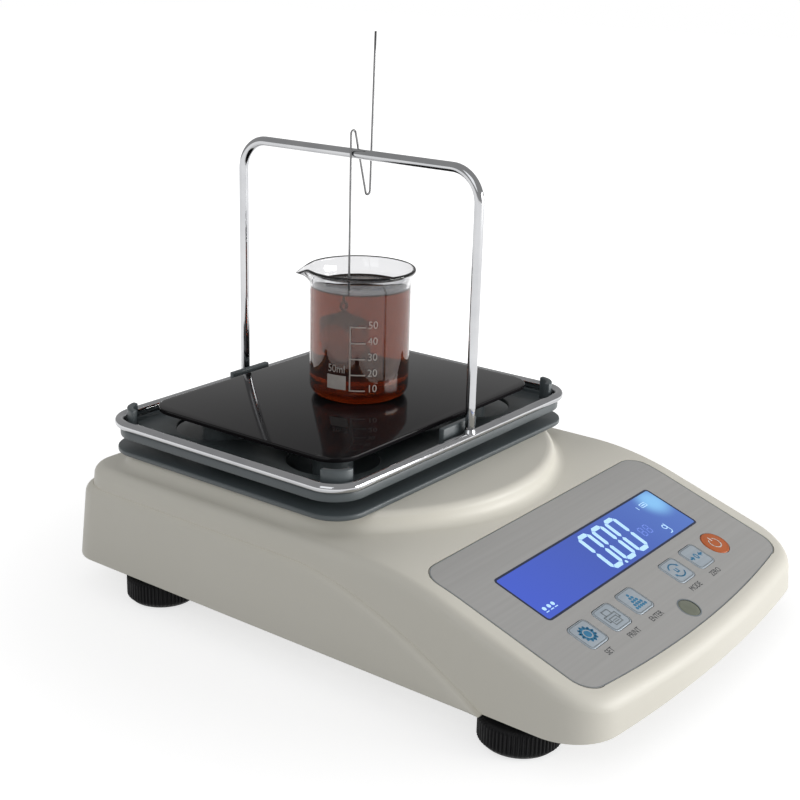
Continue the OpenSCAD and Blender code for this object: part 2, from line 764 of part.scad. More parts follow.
module pan_stem() color([0.75, 0.76, 0.78]) translate([0, pan_y, arm_z + arm_t]) difference() {
    cylinder(d = stem_d, h = cross_z - arm_z - arm_t, $fn = smooth);
    translate([0, 0, -1]) cylinder(d = cross_screw_d + 2 * fit, h = cross_z, $fn = 32);
}

module pan_cross() color([0.75, 0.76, 0.78]) translate([0, pan_y, cross_z]) difference() {
    union() {
        translate([-cross_x / 2, -cross_arm / 2, 0]) cube([cross_x, cross_arm, cross_t]);
        translate([-cross_arm / 2, -cross_y / 2, 0]) cube([cross_arm, cross_y, cross_t]);
        cylinder(d = stem_d + 12, h = cross_t, $fn = smooth);
    }
    translate([0, 0, -1]) cylinder(d = cross_screw_d + 2 * fit, h = cross_t + 2, $fn = 32);
    translate([0, 0, cross_t - 2]) cylinder(d = cross_head_d + slip, h = 3, $fn = 32);
}

module cross_screw() color(steel) translate([0, pan_y, cross_z + cross_t - 2]) mirror([0, 0, 1])
    screw(cross_screw_d, cross_z + cross_t - 2 - arm_z - 0.5, cross_head_d, 1.7);

module tray() color(grey) translate([0, pan_y, tray_z]) {
    difference() {
        linear_extrude(tray_t) round_rect(tray_w, tray_d, plate_r, $fn = smooth);
        translate([0, 0, tray_floor]) linear_extrude(tray_t)
            round_rect(tray_w - 2 * tray_rim, tray_d - 2 * tray_rim, lip_out + pocket_play,
                $fn = smooth);
        for (x = [-1, 1]) for (y = [-1, 1]) translate([x * post_dx / 2, y * post_dy / 2, -1])
            cylinder(d = hole_d, h = tray_t + 2, $fn = smooth);
    }
}

// low walls on the tray that keep the ring in its place: one in each corner, one by each arch leg
module frame_clips() color(grey) translate([0, pan_y, tray_z + tray_floor]) {
    for (x = [-1, 1]) for (y = [-1, 1]) corner_clip(x, y);
    for (y = [-1, 1]) translate([-tab_l / 2,
        y * (ring_d / 2 - ring_r + lip_out - lip_t / 2) - lip_t / 2, 0]) cube([tab_l, lip_t, lip_rise]);
}

// a quarter of a round wall just inside the ring's corner
module corner_clip(x, y) translate([x * (ring_w / 2 - ring_r), y * (ring_d / 2 - ring_r), 0])
    intersection() {
        difference() {
            cylinder(r = lip_out, h = lip_rise, $fn = smooth);
            translate([0, 0, -1]) cylinder(r = lip_out - lip_t, h = lip_rise + 2, $fn = smooth);
        }
        translate([x > 0 ? 0 : -lip_out, y > 0 ? 0 : -lip_out, 0]) cube([lip_out, lip_out, lip_rise]);
    }

module wire_rod(l) cylinder(d = wire_d, h = l, $fn = 32);
module wire_bend(r) rotate_extrude(angle = 90, $fn = smooth) translate([r, 0]) circle(d = wire_d, $fn = 32);

module frame_ring() color(chrome) translate([0, pan_y, ring_z]) {
    for (y = [-1, 1]) translate([ring_r - ring_w / 2, y * ring_d / 2, 0]) rotate([0, 90, 0])
        wire_rod(ring_w - 2 * ring_r);
    for (x = [-1, 1]) translate([x * ring_w / 2, ring_r - ring_d / 2, 0]) rotate([-90, 0, 0])
        wire_rod(ring_d - 2 * ring_r);
    for (x = [0, 1]) for (y = [0, 1]) mirror([x, 0, 0]) mirror([0, y, 0])
        translate([ring_w / 2 - ring_r, ring_d / 2 - ring_r, 0]) wire_bend(ring_r);
}

module frame_arch() color(chrome) translate([0, pan_y, ring_z]) {
    foot = wire_d / 2 - 0.05;
    for (y = [-1, 1]) translate([arch_x, y * ring_d / 2, foot]) wire_rod(arch_h - arch_r - foot);
    translate([arch_x, arch_r - ring_d / 2, arch_h]) rotate([-90, 0, 0]) wire_rod(ring_d - 2 * arch_r);
    for (y = [0, 1]) mirror([0, y, 0]) translate([arch_x, ring_d / 2 - arch_r, arch_h - arch_r])
        rotate([90, 0, 90]) wire_bend(arch_r);
}

module lower_plate() color(grey) translate([0, pan_y, lower_z]) difference() {
    linear_extrude(lower_t) round_rect(lower_w, lower_d, plate_r, $fn = smooth);
    translate([0, 0, -1]) cylinder(d = stem_hole_d, h = lower_t + 2, $fn = smooth);
    for (x = [-1, 1]) for (y = [-1, 1]) translate([x * post_dx / 2, y * post_dy / 2, -1])
        cylinder(d = small_hole_d, h = lower_t + 2, $fn = 32);
}

module support_posts() color(grey) for (x = [-1, 1]) for (y = [-1, 1])
    translate([x * post_dx / 2, pan_y + y * post_dy / 2, lower_top]) difference() {
        cylinder(d = post_d, h = post_h, $fn = smooth);
        translate([0, 0, -1]) cylinder(d = small_hole_d - 0.2, h = plate_screw_grip + 2, $fn = 32);
    }

module plate_screws() color(steel) for (x = [-1, 1]) for (y = [-1, 1])
    translate([x * post_dx / 2, pan_y + y * post_dy / 2, platform_z - wall])
        screw(small_hole_d - 0.3, wall + lower_t + plate_screw_grip, head_d, screw_head_h);

module sample_plate() color(black) translate([0, pan_y, sample_z])
    linear_extrude(sample_t) round_rect(sample_w, sample_d, sample_r, $fn = smooth);

module beaker_place() translate([beaker_x, pan_y + beaker_y, sample_top]) children();

module beaker() color(glass) beaker_place() {
    r = beaker_d / 2;
    foot_r = 5;
    rim_t = 1.1;
    rim_r = rim_d / 2 - rim_t;
    difference() {
        union() {
            translate([0, 0, foot_r]) cylinder(r = r, h = beaker_h - foot_r - rim_t, $fn = smooth);
            cylinder(r = r - foot_r, h = foot_r + 1, $fn = smooth);
            translate([0, 0, foot_r]) rotate_extrude($fn = smooth) intersection() {
                translate([r - foot_r, 0]) circle(r = foot_r, $fn = smooth);
                translate([0, -foot_r]) square([r, foot_r]);
            }
            translate([0, 0, beaker_h - 5])
                cylinder(r1 = r - 0.2, r2 = rim_r, h = 4, $fn = smooth);
            translate([0, 0, beaker_h - rim_t]) rotate_extrude($fn = smooth)
                translate([rim_r, 0]) circle(r = rim_t, $fn = 32);
            translate([0, 0, beaker_h - 2 * rim_t]) cylinder(r = rim_r, h = 2 * rim_t, $fn = smooth);
        }
        translate([0, 0, 2 * glass_t]) cylinder(r = r - glass_t - 2, h = beaker_h, $fn = smooth);
        translate([0, 0, foot_r]) cylinder(r = r - glass_t, h = beaker_h, $fn = smooth);
        translate([0, 0, beaker_h - 5])
            cylinder(r1 = r - glass_t, r2 = rim_r - 0.3, h = 5.01, $fn = smooth);
    }
}

// thin wire: up from the sinker, over the arch, down the slanted leg, round and up to the handle
module hook_wire() color(steel) translate([hook_x, pan_y, 0]) rotate([90, 0, 0]) {
    leg_end = bend_mid + hook_bend * unit(hook_slant);
    turn_mid = leg_end + slant_l * heading(hook_slant) + hook_turn * unit(hook_slant);
    handle_foot = turn_mid + hook_turn * unit(-hook_lean);
    translate([0, hook_end]) rotate([-90, 0, 0]) thin_rod(bend_mid[1] - hook_end);
    thin_bend(bend_mid, hook_bend, hook_slant, 180 - hook_slant);
    translate(leg_end) rotate(hook_slant) rotate([90, 0, 0]) thin_rod(slant_l);
    thin_bend(turn_mid, hook_turn, 180 + hook_slant, 180 - hook_slant - hook_lean);
    translate(handle_foot) rotate(-hook_lean) rotate([-90, 0, 0]) thin_rod(handle_l);
    for (p = [[0, bend_mid[1]], leg_end, leg_end + slant_l * heading(hook_slant), handle_foot])
        translate(p) sphere(d = hook_d + 0.08, $fn = 32);
}
function unit(a) = [cos(a), sin(a)];
function heading(a) = [sin(a), -cos(a)];
module thin_rod(l) translate([0, 0, 0.05]) cylinder(d = hook_d, h = l - 0.1, $fn = 32);
module thin_bend(middle, r, start, sweep) translate(middle) rotate(start)
    rotate_extrude(angle = sweep, $fn = smooth) translate([r, 0]) circle(d = hook_d, $fn = 32);

module sinker() color(glass) translate([hook_x, pan_y, sinker_top]) {
    translate([0, 0, -cone_h]) cylinder(d1 = sinker_d, d2 = 2, h = cone_h, $fn = smooth);
    translate([0, 0, -cone_h - sinker_l]) cylinder(d = sinker_d, h = sinker_l, $fn = smooth);
    translate([0, 0, -2 * cone_h - sinker_l]) cylinder(d1 = 5, d2 = sinker_d, h = cone_h, $fn = smooth);
}

module sinker_eye() color(steel) translate([hook_x, pan_y, hook_end - eye_r]) rotate([90, 0, 0])
    rotate_extrude($fn = 32) translate([eye_r, 0]) circle(d = hook_d, $fn = 16);

module foot_wheel(k) color(black) translate([foot_places[k][0], foot_places[k][1], 0]) difference() {
    union() {
        cylinder(d1 = wheel_d - 4, d2 = wheel_d - 0.6, h = 1.6, $fn = smooth);
        translate([0, 0, 1.6]) cylinder(d = wheel_d - 0.6, h = wheel_h - 1.6, $fn = smooth);
        for (a = [0:wheel_flutes - 1]) rotate(a * 360 / wheel_flutes)
            translate([wheel_d / 2 - 0.9, -0.4, 1.6]) cube([0.9, 0.8, wheel_h - 2.4]);
    }
    translate([0, 0, stud_base]) cylinder(d = stud_d + 2 * fit, h = wheel_h, $fn = smooth);
}

module foot_stud(k) color(steel) translate([foot_places[k][0], foot_places[k][1], stud_base + seat])
    cylinder(d = stud_d, h = under_z + insert_h + 1 - stud_base, $fn = smooth);

module foot_wheel_1() foot_wheel(0);
module foot_wheel_2() foot_wheel(1);
module foot_wheel_3() foot_wheel(2);
module foot_wheel_4() foot_wheel(3);
module foot_stud_1() foot_stud(0);
module foot_stud_2() foot_stud(1);
module foot_stud_3() foot_stud(2);
module foot_stud_4() foot_stud(3);

module foot_inserts() color(brass) for (p = foot_places) translate([p[0], p[1], under_z]) difference() {
    cylinder(d = insert_d, h = insert_h, $fn = smooth);
    translate([0, 0, -1]) cylinder(d = stud_d + 2 * fit, h = insert_h + 2, $fn = smooth);
}

module power_jack() color(black) translate([jack_x, port_y, port_z]) rotate([-90, 0, 0]) {
    difference() {
        union() {
            cylinder(d = jack_d + 3, h = 1.6, $fn = smooth);
            translate([0, 0, -11]) cylinder(d = jack_d, h = 12, $fn = smooth);
        }
        translate([0, 0, 1.6 - jack_depth]) cylinder(d = jack_bore_d, h = jack_depth + 1, $fn = smooth);
    }
    translate([0, 0, 1 - jack_depth]) cylinder(d = jack_pin_d, h = jack_depth - 0.4, $fn = 32);
}

module jack_nut() color(steel) translate([jack_x, rear_y - side_step - wall - 4, port_z])
    rotate([-90, 0, 0]) difference() {
        cylinder(d = jack_d + 5, h = 2, $fn = 6);
        translate([0, 0, -1]) cylinder(d = jack_d + 2 * fit, h = 4, $fn = smooth);
    }

module serial_port() color(steel) translate([serial_x, port_y, port_z]) rotate([-90, 0, 0]) difference() {
    union() {
        rounded_block(serial_w, serial_h, 1, 1);
        translate([0, 0, -shell_in]) linear_extrude(shell_in + shell_out) polygon([
            [-shell_w / 2, -shell_h / 2], [shell_w / 2, -shell_h / 2],
            [shell_w / 2 - shell_slope, shell_h / 2], [shell_slope - shell_w / 2, shell_h / 2]]);
    }
    for (k = [-2:2]) translate([k * pin_pitch, -pin_pitch / 2, 0]) cylinder(d = pin_d, h = 5, $fn = 16);
    for (k = [-1.5:1.5]) translate([k * pin_pitch, pin_pitch / 2, 0])
        cylinder(d = pin_d, h = 5, $fn = 16);
    for (x = [-1, 1]) translate([x * serial_screw_x, 0, -1]) cylinder(d = small_hole_d, h = 3, $fn = 32);
}

module port_screws() color(steel) for (x = [-1, 1])
    translate([serial_x + x * serial_screw_x, port_y + 1, port_z]) rotate([90, 0, 0])
        screw(small_hole_d - 0.3, board_screw_l, board_head_d, 1.4);

housing_top();
housing_base();
housing_screws();
control_overlay();
display_window();
lcd_module();
display_board();
board_screws();
key_set();
key_print();
key_enter();
key_mode();
key_zero();
key_power();
key_switches();
level_window();
level_vial();
main_board();
main_board_screws();
ribbon_cable();
load_cell();
cell_spacer();
cell_pad();
cell_screws();
overload_stop();
pan_arm();
pan_stem();
pan_cross();
cross_screw();
arm_screws();
tray();
frame_clips();
frame_ring();
frame_arch();
lower_plate();
plate_screws();
support_posts();
sample_plate();
beaker();
hook_wire();
sinker();
sinker_eye();
foot_wheel_1();
foot_wheel_2();
foot_wheel_3();
foot_wheel_4();
foot_stud_1();
foot_stud_2();
foot_stud_3();
foot_stud_4();
foot_inserts();
power_jack();
jack_nut();
serial_port();
port_screws();
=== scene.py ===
"""Dresses the benchtop density meter: finishes, rounded skins, glass, liquid, print and display."""
import math

import bmesh
import bpy
from mathutils import Matrix, Vector


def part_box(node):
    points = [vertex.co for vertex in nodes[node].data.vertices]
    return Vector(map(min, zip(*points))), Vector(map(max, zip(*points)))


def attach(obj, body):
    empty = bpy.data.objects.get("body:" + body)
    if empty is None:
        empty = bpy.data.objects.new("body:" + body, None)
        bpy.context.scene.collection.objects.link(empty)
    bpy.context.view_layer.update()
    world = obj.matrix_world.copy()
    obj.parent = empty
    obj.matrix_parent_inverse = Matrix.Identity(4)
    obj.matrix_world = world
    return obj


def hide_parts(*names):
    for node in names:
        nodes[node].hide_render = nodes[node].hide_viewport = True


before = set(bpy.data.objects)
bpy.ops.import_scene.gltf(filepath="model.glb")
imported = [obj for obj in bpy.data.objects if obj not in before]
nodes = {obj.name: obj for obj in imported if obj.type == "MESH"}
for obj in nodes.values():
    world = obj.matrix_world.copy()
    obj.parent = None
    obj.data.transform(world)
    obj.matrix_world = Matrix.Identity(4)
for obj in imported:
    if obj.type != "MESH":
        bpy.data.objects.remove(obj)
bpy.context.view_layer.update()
MM = 0.001

# ---------------------------------------------------------------- sizes, in millimetres
UNDER_Z = 12.5          # underside of the housing
TOP_Z = 52.5            # its flat top
FRONT_Y = -127.5
REAR_Y = 127.5
BREAK_Y = -43.5         # where the slope starts
PAN_Y = 50.5            # middle of the plates
TILT = math.radians(18.5)
DRAFT = math.tan(math.radians(4))
SIDE_STEP = 2.2         # how far the side panels stand out
HALF = 91.0
UPPER_HALF = HALF - SIDE_STEP
FRONT_BOW = 6.5
FRONT_LEAN = 0.07
CORNER_R = 14.0
FRONT_R = 20.0
EDGE_R = 4.6
SOFT = 6.7              # roundness of the turn into the slope
WALL = 2.5
PLATFORM_Z = 59.3
LOWER_TOP = 61.5        # top of the lower plate
RING_Z = 72.0
RING_HALF = (80.2, 61.4)
RING_R = 12.0
WIRE_R = 2.0
ARCH_X = 2.0
ARCH_Z = 178.8          # middle of the arch's bar
ARCH_R = 13.0
PLATE_TOP = 77.8
BEAKER = (3.8, 47.8)
BEAKER_R = 21.0
BEAKER_H = 54.5
GLASS = 1.4
LIQUID_H = 46.0
FEET = [(-75.5, -88.5), (75.5, -88.5), (-75.5, 86.5), (75.5, 86.5)]
# on the panel: x across, s down the slope from its top
KEYS_X = (-51, -34, -17, 17, 34)
POWER_X = 51
KEYS_S = 58.5
WINDOW_S = 33.7
LEVEL_S = 73.4
LIT = (-0.05, -0.02)    # low and high side of what the display shows
INK = 0.04              # thickness of print


# ---------------------------------------------------------------- mesh helpers
def mesh_object(name, points, faces, smooth=True, sharp=None):
    """A mesh from points in millimetres; edges sharper than sharp degrees stay crisp."""
    me = bpy.data.meshes.new(name)
    me.from_pydata([tuple(c * MM for c in p) for p in points], [], faces)
    me.validate()
    bm = bmesh.new()
    bm.from_mesh(me)
    bmesh.ops.remove_doubles(bm, verts=bm.verts, dist=1e-6)
    bmesh.ops.recalc_face_normals(bm, faces=bm.faces)
    bm.to_mesh(me)
    bm.free()
    if smooth:
        me.shade_smooth()
    if sharp is not None:
        me.set_sharp_from_angle(angle=math.radians(sharp))
    ob = bpy.data.objects.new(name, me)
    bpy.context.scene.collection.objects.link(ob)
    return ob


def crisp(ob, angle):
    """Smooth shading, with the edges over angle degrees kept sharp."""
    ob.data.shade_smooth()
    ob.data.set_sharp_from_angle(angle=math.radians(angle))


def finish_piece(ob, body, material, slot, *replaced):
    ob.data.materials.clear()
    ob.data.materials.append(material)
    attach(ob, body)
    if replaced:
        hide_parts(*replaced)
    return ob


def loft(loops, caps=True):
    """Points and faces of a skin through closed loops of equal length."""
    n = len(loops[0])
    points = [p for loop in loops for p in loop]
    faces = []
    for j in range(len(loops) - 1):
        for i in range(n):
            k = (i + 1) % n
            faces.append((j * n + i, j * n + k, (j + 1) * n + k, (j + 1) * n + i))
    if caps:
        faces.append(tuple(range(n))[::-1])
        faces.append(tuple((len(loops) - 1) * n + i for i in range(n)))
    return points, faces


def revolve(name, profile, centre=(0, 0), sides=128, reach=None, sharp=40):
    """A turned form. reach(angle, radius, height) may push points outward, for a spout."""
    loops = []
    for a in range(sides):
        ang = 2 * math.pi * a / sides
        loop = []
        for r, z in profile:
            out = r + (reach(ang, r, z) if reach else 0)
            loop.append((centre[0] + out * math.cos(ang), centre[1] + out * math.sin(ang), z))
        loops.append(loop)
    n = len(profile)
    points = [p for loop in loops for p in loop]
    faces = []
    for a in range(sides):
        b = (a + 1) % sides
        for i in range(n - 1):
            faces.append((a * n + i, b * n + i, b * n + i + 1, a * n + i + 1))
    return mesh_object(name, points, faces, sharp=sharp)


def sweep(path, radius, sides=24, closed=False):
    """A round wire along a path in one plane or nearly so."""
    pts = [Vector(p) for p in path]
    count = len(pts)
    loops = []
    up = None
    for i, p in enumerate(pts):
        a = pts[i - 1] if (i or closed) else p
        b = pts[(i + 1) % count] if (i < count - 1 or closed) else p
        along = (b - a).normalized()
        if up is None:
            up = Vector((0, 0, 1)) if abs(along.z) < 0.9 else Vector((1, 0, 0))
        side = along.cross(up).normalized()
        up = side.cross(along).normalized()
        loops.append([tuple(p + radius * (math.cos(t) * side + math.sin(t) * up))
                      for t in (2 * math.pi * k / sides for k in range(sides))])
    if closed:
        loops.append(loops[0])
    return loft(loops, caps=not closed)


def arc(cx, cy, r, a0, a1, count):
    return [(cx + r * math.cos(math.radians(a0 + (a1 - a0) * k / count)),
             cy + r * math.sin(math.radians(a0 + (a1 - a0) * k / count))) for k in range(count + 1)]


def circle(r, count, cx=0.0, cy=0.0):
    return arc(cx, cy, r, 0, 360 - 360 / count, count - 1)


def round_rect(hx, hy, r, count=10):
    pts = []
    for sx, sy, start in ((1, -1, -90), (1, 1, 0), (-1, 1, 90), (-1, -1, 180)):
        pts += arc(sx * (hx - r), sy * (hy - r), r, start, start + 90, count)
    return pts


def offset_outline(pts, d):
    """A closed outline moved inward by d, or outward where d is below zero."""
    out = []
    for i in range(len(pts)):
        a, b, c = Vector(pts[i - 1]), Vector(pts[i]), Vector(pts[(i + 1) % len(pts)])
        tangent = c - a
        if tangent.length < 1e-9:
            tangent = c - b
        tangent.normalize()
        out.append((b.x - tangent.y * d, b.y + tangent.x * d))
    return out


def slab(outline, low, high, soft=0.4, place=None, steps=3):
    """A plate from an outline, with rounded upper and lower edges."""
    turns = [math.pi / 2 * k / steps for k in range(steps + 1)]
    levels = [(soft * (1 - math.sin(t)), low + soft * (1 - math.cos(t))) for t in turns]
    levels += [(soft * (1 - math.cos(t)), high - soft * (1 - math.sin(t))) for t in turns]
    points, faces = loft([[(x, y, z) for x, y in offset_outline(outline, d)] for d, z in levels])
    if place:
        points = [place(*p) for p in points]
    return points, faces


def on_panel(x, s, h):
    """x across, s down the slope from its top, h out of the face."""
    y = BREAK_Y - s * math.cos(TILT)
    fall = math.atan((top_height(y + 0.05) - top_height(y - 0.05)) / 0.1)
    return (x, y - h * math.sin(fall), top_height(y) + h * math.cos(fall))


def panel_place(x, y, z):
    return on_panel(x, -y, z)


def wrapped(ob):
    """Lays a flat object on the panel, cut into narrow strips where the panel curves."""
    bm = bmesh.new()
    bm.from_mesh(ob.data)
    for k in range(12):
        bmesh.ops.bisect_plane(bm, geom=bm.verts[:] + bm.edges[:] + bm.faces[:], dist=1e-7,
                               plane_co=(0, (-0.3 - k * 2.0) * MM, 0), plane_no=(0, 1, 0))
    for v in bm.verts:
        v.co = Vector(panel_place(*(v.co / MM))) * MM
    bmesh.ops.recalc_face_normals(bm, faces=bm.faces)
    bm.to_mesh(ob.data)
    bm.free()
    return ob


def finer(outline):
    """The same closed outline with its long edges divided."""
    out = []
    for a, b in zip(outline, outline[1:] + outline[:1]):
        a, b = Vector(a), Vector(b)
        count = max(1, round((b - a).length / 2.5))
        out += [tuple(a.lerp(b, k / count)) for k in range(count)]
    return out


def merge(parts):
    points, faces = [], []
    for p, f in parts:
        base = len(points)
        points += p
        faces += [tuple(i + base for i in face) for face in f]
    return points, faces


def bevelled(name, width):
    """A copy of a solid's mesh with its sharp edges rounded."""
    me = nodes[name].data.copy()
    bm = bmesh.new()
    bm.from_mesh(me)
    bmesh.ops.remove_doubles(bm, verts=bm.verts, dist=1e-6)
    bmesh.ops.dissolve_limit(bm, angle_limit=0.01, verts=bm.verts, edges=bm.edges)
    edges = [e for e in bm.edges
             if len(e.link_faces) == 2 and e.calc_face_angle(0) > math.radians(30)]
    bmesh.ops.bevel(bm, geom=edges, offset=width * MM, offset_type="OFFSET", segments=2,
                    profile=0.5, affect="EDGES", clamp_overlap=True)
    bm.to_mesh(me)
    bm.free()
    ob = bpy.data.objects.new(name + "_skin", me)
    bpy.context.scene.collection.objects.link(ob)
    crisp(ob, 40)
    return ob


# ---------------------------------------------------------------- materials
def material(name, color, rough, metal=0.0, **sockets):
    mat = bpy.data.materials.new(name)
    mat.use_nodes = True
    bsdf = mat.node_tree.nodes["Principled BSDF"]
    bsdf.inputs["Base Color"].default_value = (*color, 1)
    bsdf.inputs["Roughness"].default_value = rough
    bsdf.inputs["Metallic"].default_value = metal
    for key, value in sockets.items():
        bsdf.inputs[key.replace("_", " ")].default_value = value
    return mat


def node(tree, kind, inputs=(), **settings):
    """A shader node; inputs maps a socket to a value or to another node's output."""
    made = tree.nodes.new("ShaderNode" + kind)
    for key, value in settings.items():
        setattr(made, key, value)
    for key, value in dict(inputs).items():
        if isinstance(value, bpy.types.NodeSocket):
            tree.links.new(value, made.inputs[key])
        else:
            made.inputs[key].default_value = value
    return made


def noise(mat, scale, stretch=(1, 1, 1), detail=4):
    tree = mat.node_tree
    coord = node(tree, "TexCoord")
    mapping = node(tree, "Mapping", {"Vector": coord.outputs["Object"], "Scale": stretch})
    tex = node(tree, "TexNoise", {"Vector": mapping.outputs["Vector"], "Scale": scale,
                                  "Detail": detail, "Roughness": 0.55})
    return tex.outputs["Fac"]


def ramp(mat, fac, low, high):
    made = node(mat.node_tree, "ValToRGB", {"Fac": fac})
    first, second = made.color_ramp.elements
    first.position, second.position = 0.3, 0.7
    first.color, second.color = (*low, 1), (*high, 1)
    return made.outputs["Color"]


def spread(mat, fac, low, high):
    made = node(mat.node_tree, "MapRange", {"Value": fac, "From Min": 0.25, "From Max": 0.75,
                                            "To Min": low, "To Max": high})
    return made.outputs["Result"]


def feed(mat, socket, output):
    mat.node_tree.links.new(output, mat.node_tree.nodes["Principled BSDF"].inputs[socket])


def bump(mat, fac, strength, distance):
    made = node(mat.node_tree, "Bump", {"Height": fac, "Strength": strength, "Distance": distance})
    feed(mat, "Normal", made.outputs["Normal"])


def varied(name, low, high, rough, metal=0.0, patch=40, grain=2200, depth=0.00004,
           strength=0.15, stretch=(1, 1, 1), **sockets):
    """A surface with slow colour change, uneven gloss and a fine grain."""
    mat = material(name, low, rough[0], metal, **sockets)
    feed(mat, "Base Color", ramp(mat, noise(mat, patch, stretch), low, high))
    feed(mat, "Roughness", spread(mat, noise(mat, patch * 4, stretch), *rough))
    bump(mat, noise(mat, grain, stretch, detail=2), strength, depth)
    return mat


cream = varied("cream_moulded", (0.715, 0.69, 0.61), (0.745, 0.72, 0.645), (0.4, 0.5),
               patch=14, grain=2600, depth=0.00003)
overlay_mat = varied("brushed_silver_film", (0.44, 0.435, 0.425), (0.475, 0.47, 0.46), (0.4, 0.5),
                     metal=0.2, patch=700, grain=1800, stretch=(0.02, 1, 1), depth=0.00001)
key_mat = varied("key_silver", (0.40, 0.46, 0.52), (0.45, 0.51, 0.565), (0.3, 0.4), metal=0.1,
                 patch=700, grain=1800, stretch=(0.03, 1, 1), depth=0.00001)
orange_mat = varied("key_orange", (0.50, 0.115, 0.025), (0.56, 0.135, 0.03), (0.32, 0.4), patch=90)
grey_mat = varied("grey_paint", (0.07, 0.086, 0.092), (0.084, 0.10, 0.107), (0.38, 0.48), patch=30,
                  grain=1500, depth=0.00005, Coat_Weight=0.15, Coat_Roughness=0.3)
black_gloss = varied("black_gloss", (0.008, 0.007, 0.008), (0.012, 0.011, 0.012), (0.04, 0.08),
                     patch=16, grain=260, depth=0.000004, strength=0.05,
                     Specular_IOR_Level=0.16)
black_mat = varied("black_moulded", (0.006, 0.006, 0.007), (0.01, 0.01, 0.011), (0.5, 0.65),
                   patch=120, grain=1800, depth=0.00006, Specular_IOR_Level=0.25)
chrome = varied("chrome_wire", (0.46, 0.465, 0.48), (0.54, 0.545, 0.555), (0.05, 0.11), metal=1.0,
                patch=60, grain=700, depth=0.000003, strength=0.08)
steel = varied("plated_steel", (0.46, 0.46, 0.46), (0.58, 0.58, 0.57), (0.24, 0.36), metal=1.0,
               patch=160, grain=1600, depth=0.00001)
dark_steel = varied("thin_steel_wire", (0.16, 0.16, 0.165), (0.24, 0.24, 0.24), (0.25, 0.35),
                    metal=1.0, patch=300, grain=1600, depth=0.00001)
aluminium = varied("machined_aluminium", (0.62, 0.63, 0.65), (0.72, 0.73, 0.74), (0.3, 0.42),
                   metal=1.0, patch=300, grain=1600, stretch=(1, 0.05, 1), depth=0.00002)
brass = varied("turned_brass", (0.55, 0.38, 0.12), (0.66, 0.47, 0.17), (0.25, 0.36), metal=1.0,
               patch=200, grain=1500, depth=0.00001)
board_mat = varied("circuit_board", (0.015, 0.09, 0.04), (0.02, 0.13, 0.055), (0.35, 0.5),
                   patch=160, grain=900, depth=0.00003)
ribbon_mat = varied("flat_cable", (0.30, 0.31, 0.33), (0.42, 0.43, 0.45), (0.4, 0.5), patch=30,
                    grain=900, stretch=(1, 0.05, 0.05), depth=0.0001, strength=0.4)
ink = varied("dark_print", (0.03, 0.032, 0.04), (0.045, 0.05, 0.055), (0.4, 0.5), patch=300)
blue_ink = varied("blue_print", (0.035, 0.19, 0.36), (0.045, 0.24, 0.43), (0.35, 0.45), patch=300)
rim_ink = varied("grey_print", (0.17, 0.20, 0.22), (0.24, 0.27, 0.29), (0.35, 0.45), patch=300)
pale_ink = varied("pale_print", (0.80, 0.76, 0.72), (0.86, 0.82, 0.78), (0.4, 0.5), patch=300)
glass_ink = varied("enamel_print", (0.36, 0.33, 0.31), (0.43, 0.40, 0.37), (0.45, 0.55), patch=300)
window_rim = varied("window_rim", (0.012, 0.02, 0.06), (0.02, 0.03, 0.08), (0.3, 0.4), patch=300)


def glass_material(name, color, rough, ior):
    mat = material(name, color, rough, Transmission_Weight=1.0, IOR=ior, Specular_IOR_Level=0.2)
    feed(mat, "Roughness", spread(mat, noise(mat, 60), rough, rough + 0.012))
    bump(mat, noise(mat, 45, detail=1), 0.02, 0.0002)
    return mat


beaker_glass = glass_material("beaker_glass", (0.68, 0.68, 0.69), 0.0, 1.47)
sinker_glass = glass_material("sinker_glass", (0.55, 0.52, 0.48), 0.02, 1.5)
level_mat = varied("level_window", (0.16, 0.175, 0.13), (0.20, 0.215, 0.165), (0.12, 0.2),
                   patch=200, grain=300, depth=0.00001, Coat_Weight=0.5, Coat_Roughness=0.05)
vial_mat = glass_material("level_vial", (0.6, 0.8, 0.3), 0.02, 1.45)


def liquid_material():
    mat = glass_material("amber_liquid", (0.66, 0.25, 0.06), 0.0, 1.46)
    tree = mat.node_tree
    absorb = node(tree, "VolumeAbsorption", {"Color": (0.60, 0.22, 0.02, 1), "Density": 88.0})
    tree.links.new(absorb.outputs["Volume"], tree.nodes["Material Output"].inputs["Volume"])
    return mat


def display_material():
    """Blue backlight, with a pale blue spot near the upper right corner of the pane."""
    mat = material("blue_backlight", (0.01, 0.02, 0.10), 0.12, Coat_Weight=0.4,
                   Coat_Roughness=0.05, Emission_Strength=0.85)
    tree = mat.node_tree
    here = node(tree, "TexCoord").outputs["Object"]
    split = node(tree, "SeparateXYZ", {"Vector": here})
    across = node(tree, "MapRange", {"Value": split.outputs["X"],
                                     "From Min": -57.5 * MM, "From Max": 57.5 * MM})
    tone = node(tree, "ValToRGB", {"Fac": across.outputs["Result"]})
    tone.color_ramp.elements[0].color = (0.045, 0.10, 0.62, 1)
    tone.color_ramp.elements[1].color = (0.075, 0.18, 0.55, 1)
    tone.color_ramp.elements.new(0.5).color = (0.038, 0.09, 0.45, 1)
    # a pale blue spot centred near the upper right corner of the pane, fading out over 12.5 mm
    spot_distance = node(tree, "VectorMath", {0: here, 1: [c * MM for c in on_panel(52, 27.5, 0)]},
                operation="DISTANCE")
    glow = node(tree, "MapRange", {"Value": spot_distance.outputs["Value"], "From Min": 1.0 * MM,
                                   "From Max": 12.5 * MM, "To Min": 1.0, "To Max": 0.0},
                interpolation_type="SMOOTHERSTEP")
    mix = node(tree, "Mix", {"Factor": glow.outputs["Result"], "A": tone.outputs["Color"],
                             "B": (0.26, 0.62, 1.0, 1)}, data_type="RGBA")
    feed(mat, "Emission Color", mix.outputs["Result"])
    return mat


